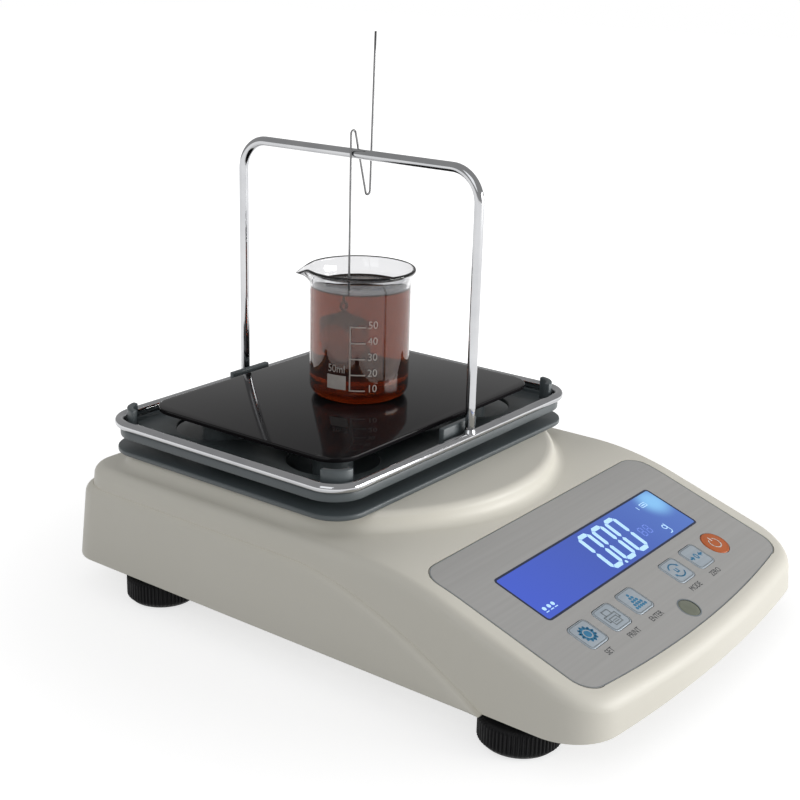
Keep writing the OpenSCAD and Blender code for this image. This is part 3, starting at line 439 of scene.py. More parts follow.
def glowing(name, color, strength, middle, low, high):
    mat = material(name, color, 0.3, Emission_Strength=strength, Emission_Color=(*middle, 1))
    feed(mat, "Emission Color", ramp(mat, noise(mat, 260), low, high))
    return mat


segment_mat = glowing("display_segments", (0.3, 0.45, 0.6), 0.75, (0.42, 0.66, 0.90),
                      (0.36, 0.60, 0.88), (0.46, 0.70, 0.93))
faint_mat = glowing("display_faint", (0.1, 0.15, 0.4), 0.7, (0.13, 0.22, 0.72),
                    (0.11, 0.20, 0.70), (0.15, 0.25, 0.75))


# ---------------------------------------------------------------- housing
def shell_base(z, shift=0.0):
    """Half width, rear and front of the upper shell at a height."""
    up = z - UNDER_Z
    front = FRONT_Y + FRONT_LEAN * max(0.0, up)
    return UPPER_HALF - up * DRAFT - shift, REAR_Y - SIDE_STEP - up * DRAFT - shift, front + shift


SIDE_ROWS = 90


def shell_outline(z, inset, shift=0.0):
    """Left half of the plan at a height, from the middle of the front to the middle of the rear."""
    half, back, front = shell_base(z, shift)
    big = (half * half + FRONT_BOW * FRONT_BOW) / (2 * FRONT_BOW)
    r = FRONT_R - shift
    rear_r = CORNER_R - shift
    cx = half - r
    cy = front + big - math.sqrt((big - r) ** 2 - cx ** 2)
    edge = math.degrees(math.atan2(front + big - cy, cx))
    pts = []
    for k in range(25):
        a = math.radians(-90 - (90 - edge) * k / 24)
        pts.append(((big - inset) * math.cos(a), front + big + (big - inset) * math.sin(a)))
    pts += [(-x, y) for x, y in arc(cx, cy, r - inset, -edge, 0, 12)][1:]
    rear_y = back - rear_r
    for k in range(1, SIDE_ROWS):
        pts.append((-(half - inset), cy + (rear_y - cy) * k / SIDE_ROWS))
    pts += [(-x, y) for x, y in arc(half - rear_r, rear_y, rear_r - inset, 0, 90, 12)]
    return pts


def top_height(y, lower=0.0):
    """Height of the top: flat behind, the slope in front, with a soft turn between them."""
    slope = TOP_Z - (BREAK_Y - y) * math.tan(TILT)
    h = min(1.0, max(0.0, 0.5 + 0.5 * (slope - TOP_Z) / SOFT))
    return slope * (1 - h) + TOP_Z * h - SOFT * h * (1 - h) - lower


outline_cache = {}


def outline_at(z, inset, shift):
    key = (round(z, 2), round(inset, 3), shift)
    if key not in outline_cache:
        outline_cache[key] = shell_outline(z, inset, shift)
    return outline_cache[key]


def shell_skin(shift, edge):
    """Outer (shift 0) or inner skin of the upper shell: wall, rounded edge and top."""
    rows = 24
    levels = [("wall", f) for f in (0.0, 0.02, 0.2, 0.5, 0.8, 1.0)]
    levels += [("edge", math.pi / 2 * k / 8) for k in range(1, 9)]
    plan = shell_outline(TOP_Z - edge, 0.0, shift)
    loops = []
    for kind, f in levels:
        half_loop = []
        for i, (_, py) in enumerate(plan):
            z_edge = top_height(py, shift) - edge
            if kind == "wall":
                z = UNDER_Z + (z_edge - UNDER_Z) * f
                x, y = outline_at(z, 0.9 if (f == 0.0 and shift == 0) else 0.0, shift)[i]
            else:
                x, y = outline_at(z_edge, edge * (1 - math.cos(f)), shift)[i]
                z = top_height(y, shift) - edge * (1 - math.sin(f))
            half_loop.append((x, y, z))
        last = half_loop[-1]
        rear = [(last[0] + (-2 * last[0]) * k / rows, last[1], last[2]) for k in range(1, rows)]
        right = [(-x, y, z) for x, y, z in half_loop[::-1]][:-1]
        loops.append(half_loop + rear + right)
    points, faces = loft(loops, caps=False)
    n = len(loops[0])
    top = (len(loops) - 1) * n
    half = len(plan)
    left_ids = [top + i for i in range(half)]
    right_ids = [top] + [top + n - i for i in range(1, half)]
    row_ids = []
    for i in range(1, half - 1):
        (x0, y0, _), (x1, _, _) = points[left_ids[i]], points[right_ids[i]]
        row_ids.append([left_ids[i]] + list(range(len(points), len(points) + rows - 1))
                       + [right_ids[i]])
        points += [(x0 + (x1 - x0) * k / rows, y0, top_height(y0, shift)) for k in range(1, rows)]
    row_ids.append([left_ids[-1]] + [top + half - 1 + k for k in range(1, rows)] + [right_ids[-1]])
    for k in range(rows):
        faces.append((left_ids[0], row_ids[0][k], row_ids[0][k + 1]))
    for a, b in zip(row_ids, row_ids[1:]):
        for k in range(rows):
            faces.append((a[k], b[k], b[k + 1], a[k + 1]))
    return points, faces, n


def cut(ob, cutter):
    mod = ob.modifiers.new("cut", "BOOLEAN")
    mod.operation = "DIFFERENCE"
    mod.solver = "EXACT"
    mod.object = cutter
    dg = bpy.context.evaluated_depsgraph_get()
    me = bpy.data.meshes.new_from_object(ob.evaluated_get(dg))
    ob.modifiers.clear()
    ob.data = me
    bpy.data.objects.remove(cutter)


def hole(ob, outline, low, high, place=None):
    """Cuts a straight hole through an object."""
    cut(ob, mesh_object("cutter", *slab(outline, low, high, 0.01, place, 1), smooth=False))


def shifted(outline, x, s):
    return [(px + x, py - s) for px, py in outline]


def overlay_outline(grow=0.0):
    """Printed film: straight rear and sides, bowed front, round corners."""
    half, rear, side_end, bow, radius = 77.5, -2.0, -75.5, 5.5, 9.0
    big = (half ** 2 + bow ** 2) / (2 * bow)
    near = half - 8.6    # the bow's own points end where the corners' rounding starts
    across = [-half] + [near * (k / 20 - 1) for k in range(41)] + [half]
    raw = [(x, side_end - bow + big - math.sqrt(big * big - x * x)) for x in across]
    corners = (0, len(raw) - 1, len(raw), len(raw) + 1)
    raw += [(half, rear), (-half, rear)]
    out = []
    for i, p in enumerate(raw):
        if i not in corners:
            out.append(p)
            continue
        a, b, c = Vector(raw[i - 1]), Vector(p), Vector(raw[(i + 1) % len(raw)])
        u, w = (a - b).normalized(), (c - b).normalized()
        angle = u.angle(w)
        reach = radius / math.tan(angle / 2)
        start, end = b + u * reach, b + w * reach
        mid = b + (u + w).normalized() * (radius / math.sin(angle / 2))
        a0 = math.atan2(start.y - mid.y, start.x - mid.x)
        a1 = math.atan2(end.y - mid.y, end.x - mid.x)
        while a1 < a0:
            a1 += 2 * math.pi
        for k in range(9):
            t = a0 + (a1 - a0) * k / 8
            out.append((mid.x + (radius + grow) * math.cos(t),
                        mid.y + (radius + grow) * math.sin(t)))
    keep = [p for i, p in enumerate(out)
            if i == 0 or (Vector(p) - Vector(out[i - 1])).length > 0.3]
    if grow:
        centre_y = -40
        keep = [(x * (1 + grow / 75), centre_y + (y - centre_y) * (1 + grow / 42)) for x, y in keep]
    return keep


outer_points, outer_faces, loop_n = shell_skin(0.0, EDGE_R)
inner_points, inner_faces, _ = shell_skin(WALL, EDGE_R - WALL)
base = len(outer_points)
shell_faces = outer_faces + [tuple(i + base for i in f) for f in inner_faces]
for i in range(loop_n):
    k = (i + 1) % loop_n
    shell_faces.append((i, k, base + k, base + i))
housing = mesh_object("housing_shell", outer_points + inner_points, shell_faces, sharp=50)

film = overlay_outline()
cut(housing, wrapped(mesh_object("cutter", *slab(overlay_outline(0.25), -0.8, 3.0, 0.01, None, 1),
                                 smooth=False)))
key_hole = round_rect(6.25, 6.25, 2.4)
power_hole = shifted(circle(6.45, 48), POWER_X, KEYS_S)
hole(housing, shifted(round_rect(56.0, 10.9, 1), 0, WINDOW_S), -6, 1, panel_place)
for kx in KEYS_X:
    hole(housing, shifted(key_hole, kx, KEYS_S), -6, 1, panel_place)
hole(housing, power_hole, -6, 1, panel_place)
hole(housing, shifted(circle(3.5, 48), 0, LEVEL_S), -6, 1, panel_place)


def rear_place(x, y, z):
    return (x, REAR_Y - 2.5 + z, 28.5 + y)


rear_recess = round_rect(42, 10, 1.5)
hole(housing, rear_recess, 0, 6, rear_place)
hole(housing, shifted(circle(5.05, 48), 26, 0), -16, 2, rear_place)
hole(housing, shifted(round_rect(9.5, 5.2, 1), -22, 0), -16, 2, rear_place)
crisp(housing, 40)
finish_piece(housing, "housing", cream, "cream_plastic", "housing_top")


SKIRT_Y = -81.1         # front tip of the side panels
LEDGE_BACK = 5.5        # where their top edge starts to fall
LEDGE_RUN = 87.0
LEDGE_RISE = 31.5


def ledge_z(y):
    u = min(1.0, max(0.0, (LEDGE_BACK - y) / LEDGE_RUN))
    return UNDER_Z + LEDGE_RISE * (1 - u ** 1.65)


def side_skirt():
    """Proud lower panels round the sides and rear, with the swept ledge."""
    straight_count, corner_count = 90, 12

    def profile(rise):
        low = min(0.8, rise * 0.3)
        turn = min(3.6, rise * 0.6)
        straight = max(rise - turn, low)
        pts = [(3.2, 0.0), (0.8, 0.0), (0.15, low * 0.4), (0.0, low), (0.0, (low + straight) / 2)]
        pts += [(2.9 * (1 - math.cos(t)), straight + turn * math.sin(t))
                for t in (math.pi / 2 * k / 8 for k in range(9))]
        return pts + [(3.2, straight + turn * 0.9)]

    def station(side, k):
        """One section: k runs along the side, then round the rear corner."""
        along = k <= straight_count
        y = SKIRT_Y + (REAR_Y - CORNER_R - 0.1 - SKIRT_Y) * k / straight_count
        a = math.radians(180 - (k - straight_count) * 90 / corner_count)
        section = []
        for inset, up in profile((ledge_z(y) if along else UNDER_Z + LEDGE_RISE) - UNDER_Z):
            half = HALF - up * DRAFT
            if along:
                section.append((side * (half - inset), y, UNDER_Z + up))
            else:
                out = CORNER_R - inset
                section.append((side * (half - CORNER_R - out * math.cos(a)),
                                REAR_Y - up * DRAFT - CORNER_R + out * math.sin(a), UNDER_Z + up))
        return section

    last = straight_count + corner_count
    return loft([station(-1, k) for k in range(last + 1)]
                + [station(1, k) for k in range(last, -1, -1)])


skirt = mesh_object("side_skirt", *side_skirt(), sharp=60)
hole(skirt, rear_recess, 0, 6, rear_place)
crisp(skirt, 50)
finish_piece(skirt, "housing", cream, "cream_plastic", "housing_top")


def platform_outline():
    pts = arc(0, 0, 88.5, -90 - 61.5, -90 + 61.5, 60)
    half, deep, r = 77.8, 61.0, 14.0
    right = [(half, -40 + (deep - r + 40) * k / 20) for k in range(21)]
    corner = arc(half - r, deep - r, r, 0, 90, 12)[1:]
    rear = [(half - r - 2 * (half - r) * k / 20, deep) for k in range(1, 20)]
    corner_left = arc(-(half - r), deep - r, r, 90, 180, 12)
    left = [(-half, deep - r - (deep - r + 40) * k / 20) for k in range(1, 21)]
    raw = pts + right + corner + rear + corner_left + left
    out = [raw[0]]
    for p in raw[1:]:
        if (Vector(p) - Vector(out[-1])).length > 0.5:
            out.append(p)
    for _ in range(3):
        out = [((a[0] + 2 * b[0] + c[0]) / 4, (a[1] + 2 * b[1] + c[1]) / 4)
               for a, b, c in zip(out[-1:] + out[:-1], out, out[1:] + out[:1])]
    return out


def platform():
    rise = PLATFORM_Z - TOP_Z
    profile = [(3.6, PLATFORM_Z)]
    for k in range(1, 7):
        t = math.pi / 2 * k / 6
        profile.append((3.2 * (1 - math.sin(t)) - 0.2, PLATFORM_Z - 3.0 * (1 - math.cos(t))))
    for k in range(1, 8):
        t = math.pi / 2 * k / 7
        profile.append((-0.4 - 4.4 * (1 - math.cos(t)),
                        TOP_Z + (rise - 3.2) * (1 - math.sin(t)) ** 1.15))
    profile.append((-4.6, TOP_Z - 0.6))
    outline = platform_outline()
    loops = []
    for d, z in profile:
        share = min(1.0, (PLATFORM_Z - z) / rise)
        loops.append([(x, PAN_Y + y, z + share * (top_height(PAN_Y + y) - TOP_Z))
                      for x, y in offset_outline(outline, d)])
    return loft(loops)


stage_top = mesh_object("platform_skin", *platform(), sharp=60)
finish_piece(stage_top, "housing", cream, "cream_plastic", "housing_top")

# ---------------------------------------------------------------- control panel
overlay = wrapped(mesh_object("overlay_film", *slab(film, -0.8, -0.02, 0.12, None, 2), sharp=35))
for kx in KEYS_X:
    hole(overlay, shifted(key_hole, kx, KEYS_S), -2, 1, panel_place)
hole(overlay, power_hole, -2, 1, panel_place)
hole(overlay, shifted(round_rect(57.55, 12.45, 1.6), 0, WINDOW_S), -2, 1, panel_place)
hole(overlay, shifted(circle(4.75, 48), 0, LEVEL_S), -2, 1, panel_place)
crisp(overlay, 8)
finish_piece(overlay, "housing", overlay_mat, "silver_overlay", "control_overlay")


def band(outline, width, low=0, high=INK, place=panel_place):
    """A thin closed frame that follows an outline."""
    inner = offset_outline(outline, width)
    n = len(outline)
    points = [(x, y, low) for x, y in outline] + [(x, y, high) for x, y in outline]
    points += [(x, y, high) for x, y in inner] + [(x, y, low) for x, y in inner]
    faces = []
    for i in range(n):
        k = (i + 1) % n
        for a, b in ((0, 1), (1, 2), (2, 3), (3, 0)):
            faces.append((a * n + i, a * n + k, b * n + k, b * n + i))
    return [place(*p) for p in points], faces


def plate(outline, low=0, high=INK, place=panel_place):
    n = len(outline)
    points = [place(x, y, low) for x, y in outline] + [place(x, y, high) for x, y in outline]
    faces = [tuple(range(n))[::-1], tuple(range(n, 2 * n))]
    faces += [(i, (i + 1) % n, n + (i + 1) % n, n + i) for i in range(n)]
    return points, faces


def stroke(pts, width, low=0, high=INK, place=panel_place):
    """A flat line of even width along points."""
    parts = []
    for a, b in zip(pts, pts[1:]):
        a, b = Vector(a), Vector(b)
        t = (b - a).normalized() * (width / 2)
        n = Vector((-t.y, t.x))
        a, b = a - t * 0.6, b + t * 0.6
        corners = [tuple(a - n), tuple(b - n), tuple(b + n), tuple(a + n)]
        parts.append(plate(corners, low, high, place))
    return merge(parts)


def printed(name, parts, body, mat, slot, *replaced):
    """One crisp piece out of flat parts."""
    piece = mesh_object(name, *merge(parts), smooth=False)
    return finish_piece(piece, body, mat, slot, *replaced)


# the film's dark outline, the display's black rim and its pane
printed("film_outline", [band(finer(film), 0.3, -0.04, 0.0)], "housing", rim_ink, "silver_overlay")
printed("window_outline", [band(shifted(round_rect(58.0, 12.9, 2.0), 0, WINDOW_S),
                                0.9, -0.04, 0.02)], "housing", window_rim, "window")
printed("display_pane", [slab(shifted(round_rect(57.45, 12.35, 1.5), 0, WINDOW_S),
                              -0.8, -0.05, 0.05, panel_place, 1)],
        "housing", display_material(), "window", "display_window")

SEGMENTS = {"0": "abcdef", "8": "abcdefg"}


def digit(char, x, s, width, height, thick, slant):
    """Seven bars with mitred ends, leaning like display digits."""
    h = height / 2
    gap = 0.16

    def lean(px, py):
        return (x + px + slant * (py + h), -s + py)

    def bar(a, b, vertical):
        (ax, ay), (bx, by) = a, b
        k = thick / 2
        if vertical:
            pts = [(ax, ay + gap), (ax + k, ay + k + gap), (ax + k, by - k - gap), (bx, by - gap),
                   (ax - k, by - k - gap), (ax - k, ay + k + gap)]
        else:
            pts = [(ax + gap, ay), (ax + k + gap, ay - k), (bx - k - gap, ay - k), (bx - gap, by),
                   (bx - k - gap, ay + k), (ax + k + gap, ay + k)]
        return plate([lean(*p) for p in pts], *LIT)

    half = width / 2
    spots = {"a": ((-half, h), (half, h), 0), "g": ((-half, 0), (half, 0), 0),
             "d": ((-half, -h), (half, -h), 0), "f": ((-half, 0), (-half, h), 1),
             "b": ((half, 0), (half, h), 1), "e": ((-half, -h), (-half, 0), 1),
             "c": ((half, -h), (half, 0), 1)}
    return merge([bar(*spots[c]) for c in SEGMENTS[char]])


big_digits = [digit("0", x, WINDOW_S, 6.6, 18.4, 2.1, 0.115) for x in (-2.6, 7.6, 17.8)]
big_digits.append(plate(shifted(circle(0.75, 12, 2.4), 0, 43.6), *LIT))
printed("display_digits", big_digits, "housing", segment_mat, "window")

small = []
for px in (-53.6, -50.6, -48.0):
    small.append(plate(shifted(circle(0.95, 8, px), 0, 41.2), *LIT))
    small.append(stroke([(px - 0.8, -42.9), (px + 0.8, -42.9)], 0.4, *LIT))
small.append(band(shifted(round_rect(2.2, 1.2, 0.4, 4), 45.4, 26.6), 0.35, *LIT))
small.append(stroke([(44.3, -26.6), (46.4, -26.6)], 0.5, *LIT))
small.append(stroke([(40.4, -27.6), (40.4, -26.0)], 0.45, *LIT))
small.append(band(shifted(circle(1.35, 24, 40.0), 0, 40.2), 0.45, *LIT))
small.append(stroke([(41.3, -38.7), (41.3, -43.0), (40.4, -43.9), (39.1, -43.9)], 0.45, *LIT))
printed("display_marks", small, "housing", segment_mat, "window")
printed("display_ghosts", [digit("8", x, 36.8, 2.4, 4.6, 0.5, 0.1) for x in (27.0, 31.2)],
        "housing", faint_mat, "window")

level = revolve("level_glass_dome", [(0, 0.02), (3.4, 0.0), (4.4, -0.12), (4.68, -0.4),
                                     (4.68, -0.8), (0, -0.8)], sides=64)
for v in level.data.vertices:
    x, y, z = (c / MM for c in v.co)
    v.co = Vector(on_panel(x, LEVEL_S - y, min(z, -0.03))) * MM
level.data.update()
finish_piece(level, "housing", level_mat, "level_glass", "level_window")
printed("level_rim", [band(shifted(circle(4.95, 60), 0, LEVEL_S), 0.5, -0.05, 0.04)],
        "housing", rim_ink, "level_glass")


# ---------------------------------------------------------------- keys
def gear(x, s):
    teeth = 12
    pts = []
    for k, (px, py) in enumerate(circle(1, teeth * 4)):
        r = 3.9 if k % 4 in (0, 1) else 3.25
        pts.append((x + r * px, -s + r * py))
    return [band(pts, 1.3), plate(circle(1.6, 24, x, -s))]


def printer(x, s):
    lines = [([(-1.9, 1.1), (-1.9, 3.6), (1.5, 3.6), (1.9, 3.2), (1.9, 1.1)], 0.5),
             ([(-2.4, -1.6), (-3.5, -1.6), (-3.5, 1.1), (3.5, 1.1), (3.5, -1.6), (2.4, -1.6)],
              0.55),
             ([(-2.3, -0.3), (-2.3, -3.5), (2.3, -3.5), (2.3, -0.3), (-2.3, -0.3)], 0.5),
             ([(-1.3, -1.5), (1.3, -1.5)], 0.45),
             ([(-1.3, -2.4), (1.3, -2.4)], 0.45)]
    return [stroke(shifted(pts, x, s), width) for pts, width in lines]


def dots(x, s):
    pitch = 1.55
    return [plate(circle(0.7, 12, x + (k - row / 2) * pitch, -s + 3.1 - row * pitch))
            for row in range(5) for k in range(row + 1)]


def turning_arrows(x, s):
    parts = []
    for start in (35, 215):
        parts.append(stroke(arc(x, -s, 3.5, start, start + 115, 12), 0.6))
        c, d = math.cos(math.radians(start)), math.sin(math.radians(start))
        parts.append(plate([(x + 3.5 * c + 1.15 * d, -s + 3.5 * d - 1.15 * c),
                            (x + 4.3 * c, -s + 4.3 * d), (x + 2.7 * c, -s + 2.7 * d)]))
    parts.append(stroke(shifted([(-0.7, 0.9), (-0.7, -0.9), (0.7, -0.9), (0.7, 0.9)], x, s), 0.55))
    return parts


def zero_arrows(x, s):
    parts = [band([(x + 1.1 * px, -s + 1.6 * py) for px, py in circle(1, 24)], 0.6)]
    for side in (-1, 1):
        parts.append(plate([(x + side * 1.7, -s), (x + side * 3.2, -s + side * 1.3),
                            (x + side * 3.2, -s - side * 1.3)]))
        parts.append(stroke([(x + side * 3.0, -s), (x + side * 4.3, -s)], 0.9))
    return parts


def key_cap(name, x, outline, icon, cap_mat, icon_mat, rim_mat, slot):
    body = name.replace("key_", "") + "_key"
    cap = mesh_object(name + "_cap", *slab(shifted(outline, x, KEYS_S), -2.9, 0.12, 0.35,
                                           panel_place, 4), sharp=50)
    finish_piece(cap, body, cap_mat, slot, name)
    # icons are drawn on the key's face, a little above it
    lift = Vector(on_panel(0, 0, 0.12)) - Vector(on_panel(0, 0, 0))
    raised = [([tuple(Vector(p) + lift) for p in pts], f) for pts, f in icon]
    printed(name + "_icon", raised, body, icon_mat, slot)
    edge = shifted(offset_outline(outline, 0.5), x, KEYS_S)
    printed(name + "_rim", [band(edge, 0.32, 0.1, 0.16)], body, rim_mat, slot)


KEYS = (("key_set", gear, blue_ink), ("key_print", printer, rim_ink), ("key_enter", dots, blue_ink),
        ("key_mode", turning_arrows, blue_ink), ("key_zero", zero_arrows, blue_ink))
for (name, draw, colour), x in zip(KEYS, KEYS_X):
    key_cap(name, x, round_rect(6.0, 6.0, 2.2, 8), draw(x, KEYS_S), key_mat, colour, rim_ink,
            "silver_key")
power_icon = [stroke(arc(POWER_X, -KEYS_S, 2.7, 125, 415, 26), 0.55),
              stroke([(POWER_X, -56.9), (POWER_X, -55.0)], 0.55)]
key_cap("key_power", POWER_X, circle(6.2, 48), power_icon, orange_mat, pale_ink, orange_mat,
        "orange_key")


def words(text, size, place, squeeze):
    """Flat lettering as a thin solid, carried to its surface by place(x, y, z) in millimetres."""
    depth = 0.03
    curve = bpy.data.curves.new(text, "FONT")
    curve.body = text
    curve.size = size
    curve.align_x = "CENTER"
    curve.align_y = "CENTER"
    curve.extrude = depth / 2
    curve.resolution_u = 4
    holder = bpy.data.objects.new("words", curve)
    bpy.context.scene.collection.objects.link(holder)
    dg = bpy.context.evaluated_depsgraph_get()
    me = bpy.data.meshes.new_from_object(holder.evaluated_get(dg))
    bpy.data.objects.remove(holder)
    points = [place(v.co.x * squeeze, v.co.y, v.co.z + depth / 2) for v in me.vertices]
    faces = [tuple(p.vertices) for p in me.polygons]
    return points, faces


captions = []
for text, x in (("SET", -51.5), ("PRINT", -33.8), ("ENTER", -17), ("MODE", 15.3), ("ZERO", 32.3)):
    captions.append(words(text, 3.5,
                          lambda px, py, pz, cx=x: on_panel(px + cx, 68.3 - py, pz - 0.02), 0.82))
printed("key_captions", captions, "housing", ink, "silver_overlay")


# ---------------------------------------------------------------- plates, tray and wire frame
lower = mesh_object("lower_plate_skin", *slab(shifted(round_rect(81.0, 63.0, 14, 16), 0, -PAN_Y),
                                              PLATFORM_Z, LOWER_TOP, 0.6), sharp=50)
hole(lower, shifted(circle(10, 60), 0, -PAN_Y), PLATFORM_Z - 2, LOWER_TOP + 2)
crisp(lower, 40)
finish_piece(lower, "housing", grey_mat, "grey_metal", "lower_plate")

sample = mesh_object("sample_plate_skin", *slab(shifted(round_rect(68.0, 51.0, 12, 12), 0, -PAN_Y),
                                                PLATE_TOP - 2, PLATE_TOP, 0.35), sharp=50)
finish_piece(sample, "sample_stand", black_gloss, "black_gloss", "sample_plate")

for name, width, body in (("tray", 0.45, "pan"), ("frame_clips", 0.4, "pan"),
                          ("support_posts", 0.4, "housing")):
    finish_piece(bevelled(name, width), body, grey_mat, "grey_metal", name)

ring_path = [(x, PAN_Y + y, RING_Z) for x, y in round_rect(*RING_HALF, RING_R, 16)]
dense = []
for a, b in zip(ring_path, ring_path[1:] + ring_path[:1]):
    gap = (Vector(b) - Vector(a)).length
    if gap < 1e-6:
        continue
    steps = max(1, int(gap / 8))
    dense += [tuple(Vector(a).lerp(Vector(b), k / steps)) for k in range(steps)]
ring = mesh_object("ring_wire", *sweep(dense, WIRE_R, 28, closed=True))
finish_piece(ring, "pan", chrome, "chrome", "frame_ring")

front, back = PAN_Y - RING_HALF[1], PAN_Y + RING_HALF[1]
arch_foot = RING_Z + 1.0
shoulder = ARCH_Z - ARCH_R
arch_side = [(front, arch_foot + (shoulder - arch_foot) * k / 8) for k in range(9)]
arch_side += arc(front + ARCH_R, shoulder, ARCH_R, 180, 90, 14)[1:]
arch_side += [(front + ARCH_R + (back - front - 2 * ARCH_R) * k / 8, ARCH_Z) for k in range(1, 9)]
arch_side += arc(back - ARCH_R, shoulder, ARCH_R, 90, 0, 14)[1:]
arch_side += [(back, shoulder - (shoulder - arch_foot) * k / 8) for k in range(1, 9)]
arch = mesh_object("arch_wire", *sweep([(ARCH_X, y, z) for y, z in arch_side], WIRE_R, 28))
finish_piece(arch, "pan", chrome, "chrome", "frame_arch")

for name, y in (("weld_front", front), ("weld_rear", back)):
    weld = revolve(name, [(0, RING_Z + 1.2), (2.75, RING_Z + 1.5), (2.45, RING_Z + 2.2),
                          (2.12, RING_Z + 3.1), (0, RING_Z + 3.2)], (ARCH_X, y), 32)
    finish_piece(weld, "pan", chrome, "chrome")

# ---------------------------------------------------------------- beaker, liquid, sinker
base_z = PLATE_TOP
top_z = base_z + BEAKER_H
SPOUT = math.atan2(0.8, -0.6)
SPOUT_DEPTH = 9


def spout(angle, r, z):
    """How far the wall stands out at the spout."""
    if r < 15 or z < top_z - SPOUT_DEPTH:
        return 0.0
    d = (angle - SPOUT + math.pi) % (2 * math.pi) - math.pi
    lift = ((z - (top_z - SPOUT_DEPTH)) / SPOUT_DEPTH) ** 2
    return 4.6 * lift * math.exp(-(d / 0.19) ** 2)


def wall_profile():
    r = BEAKER_R
    pts = [(0, base_z + 0.5), (r - 7, base_z + 0.25), (r - 5, base_z + 0.0)]
    pts += [(r - 5 + 5 * math.sin(t), base_z + 5 - 5 * math.cos(t))
            for t in (math.pi / 2 * k / 8 for k in range(1, 9))]
    pts += [(r, base_z + 5 + (BEAKER_H - 12) * k / 8) for k in range(1, 9)]
    pts += [(r + out, top_z - down) for out, down in (
        (0.1, 5.5), (0.45, 4), (1.0, 2.8), (1.55, 2.0), (1.9, 1.4), (2.0, 0.9), (1.8, 0.35),
        (1.3, 0.05), (0.75, 0.3), (0.3, 0.9), (-0.1, 1.7), (-0.7, 3.0), (-1.1, 4.4), (-GLASS, 6))]
    pts += [(r - GLASS, top_z - 6 - (BEAKER_H - 13) * k / 8) for k in range(1, 9)]
    pts += [(r - GLASS - 3.6 + 3.6 * math.cos(t), base_z + 5.6 - 3.6 * math.sin(t))
            for t in (math.pi / 2 * k / 8 for k in range(1, 9))]
    pts += [(r - 9, base_z + 1.95), (0, base_z + 2.2)]
    return pts


glass_beaker = revolve("beaker_body", wall_profile(), BEAKER, 160, spout, sharp=80)
for v in glass_beaker.data.vertices:
    bx, by, bz = (c / MM for c in v.co)
    v.co.z -= 0.7 * spout(math.atan2(by - BEAKER[1], bx - BEAKER[0]), 20, bz) * MM
finish_piece(glass_beaker, "beaker", beaker_glass, "clear_glass", "beaker")

liquid_top = base_z + LIQUID_H
inner = BEAKER_R - GLASS
wet = inner + 0.12      # the liquid reaches a little into the glass, so that no gap shows
liquid_profile = [(0, liquid_top), (inner - 3, liquid_top), (inner - 1.2, liquid_top + 0.12),
                  (inner - 0.4, liquid_top + 0.45), (wet, liquid_top + 1.0),
                  (wet, liquid_top - 0.5), (wet, base_z + 30), (wet, base_z + 6)]
liquid_profile += [(wet - 3.8 + 3.8 * math.cos(t), base_z + 5.6 - 3.75 * math.sin(t))
                   for t in (math.pi / 2 * k / 8 for k in range(1, 9))]
liquid_profile += [(0, base_z + 2.0)]
liquid = revolve("amber_liquid", liquid_profile, BEAKER, 128, sharp=70)
finish_piece(liquid, "beaker", liquid_material(), "clear_glass")

PRINT_AT = math.atan2(-0.622, -0.783) - math.radians(10.5)


def on_glass(u, z, h):
    """u round the beaker, z above its base, h out of the glass."""
    a = PRINT_AT + u / BEAKER_R
    r = BEAKER_R + 0.02 + h
    return (BEAKER[0] + r * math.cos(a), BEAKER[1] + r * math.sin(a), base_z + z)


TICKS = (6.9, 13.6, 20.4, 27.1, 33.9)
scale_parts = [stroke([(0, TICKS[0]), (0, 14), (0, 24), (0, TICKS[-1])], 0.55, 0, 0.05, on_glass)]
for k, z in enumerate(TICKS, 1):
    scale_parts.append(stroke([(0, z), (3.1, z), (6.2, z)], 0.55, 0, 0.05, on_glass))
    scale_parts.append(words(str(10 * k), 4.5,
                             lambda px, py, pz, cz=z: on_glass(px + 9.3, cz + 0.8 + py, pz), 0.95))
scale_parts.append(words("50ml", 4.7, lambda px, py, pz: on_glass(px - 5.9, 15.6 + py, pz), 0.85))
patch_x = [-10.2 + 8.6 * k / 8 for k in range(9)]
scale_parts.append(merge([plate([(a, 7.0), (b, 7.0), (b, 13.0), (a, 13.0)], 0, 0.04, on_glass)
                          for a, b in zip(patch_x, patch_x[1:])]))
printed("beaker_graduations", scale_parts, "beaker", glass_ink, "clear_glass")


lo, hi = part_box("sinker")
sx, sy = (lo[0] + hi[0]) / 2 / MM, (lo[1] + hi[1]) / 2 / MM
s_top, s_low = hi[2] / MM, lo[2] / MM
sinker_profile = [(r, s_top - down) for r, down in (
    (0, 0), (0.9, 0.1), (1.2, 0.6), (3.0, 1.8), (6.0, 3.2), (7.1, 4.2), (7.45, 5.4))]
sinker_profile += [(r, s_low + up) for r, up in (
    (7.45, 5.2), (7.1, 3.8), (5.8, 1.8), (3.6, 0.5), (1.8, 0.05), (0, 0.02))]
sinker = revolve("sinker_body", sinker_profile, (sx, sy), 64, sharp=70)
finish_piece(sinker, "hanger", sinker_glass, "clear_glass", "sinker")

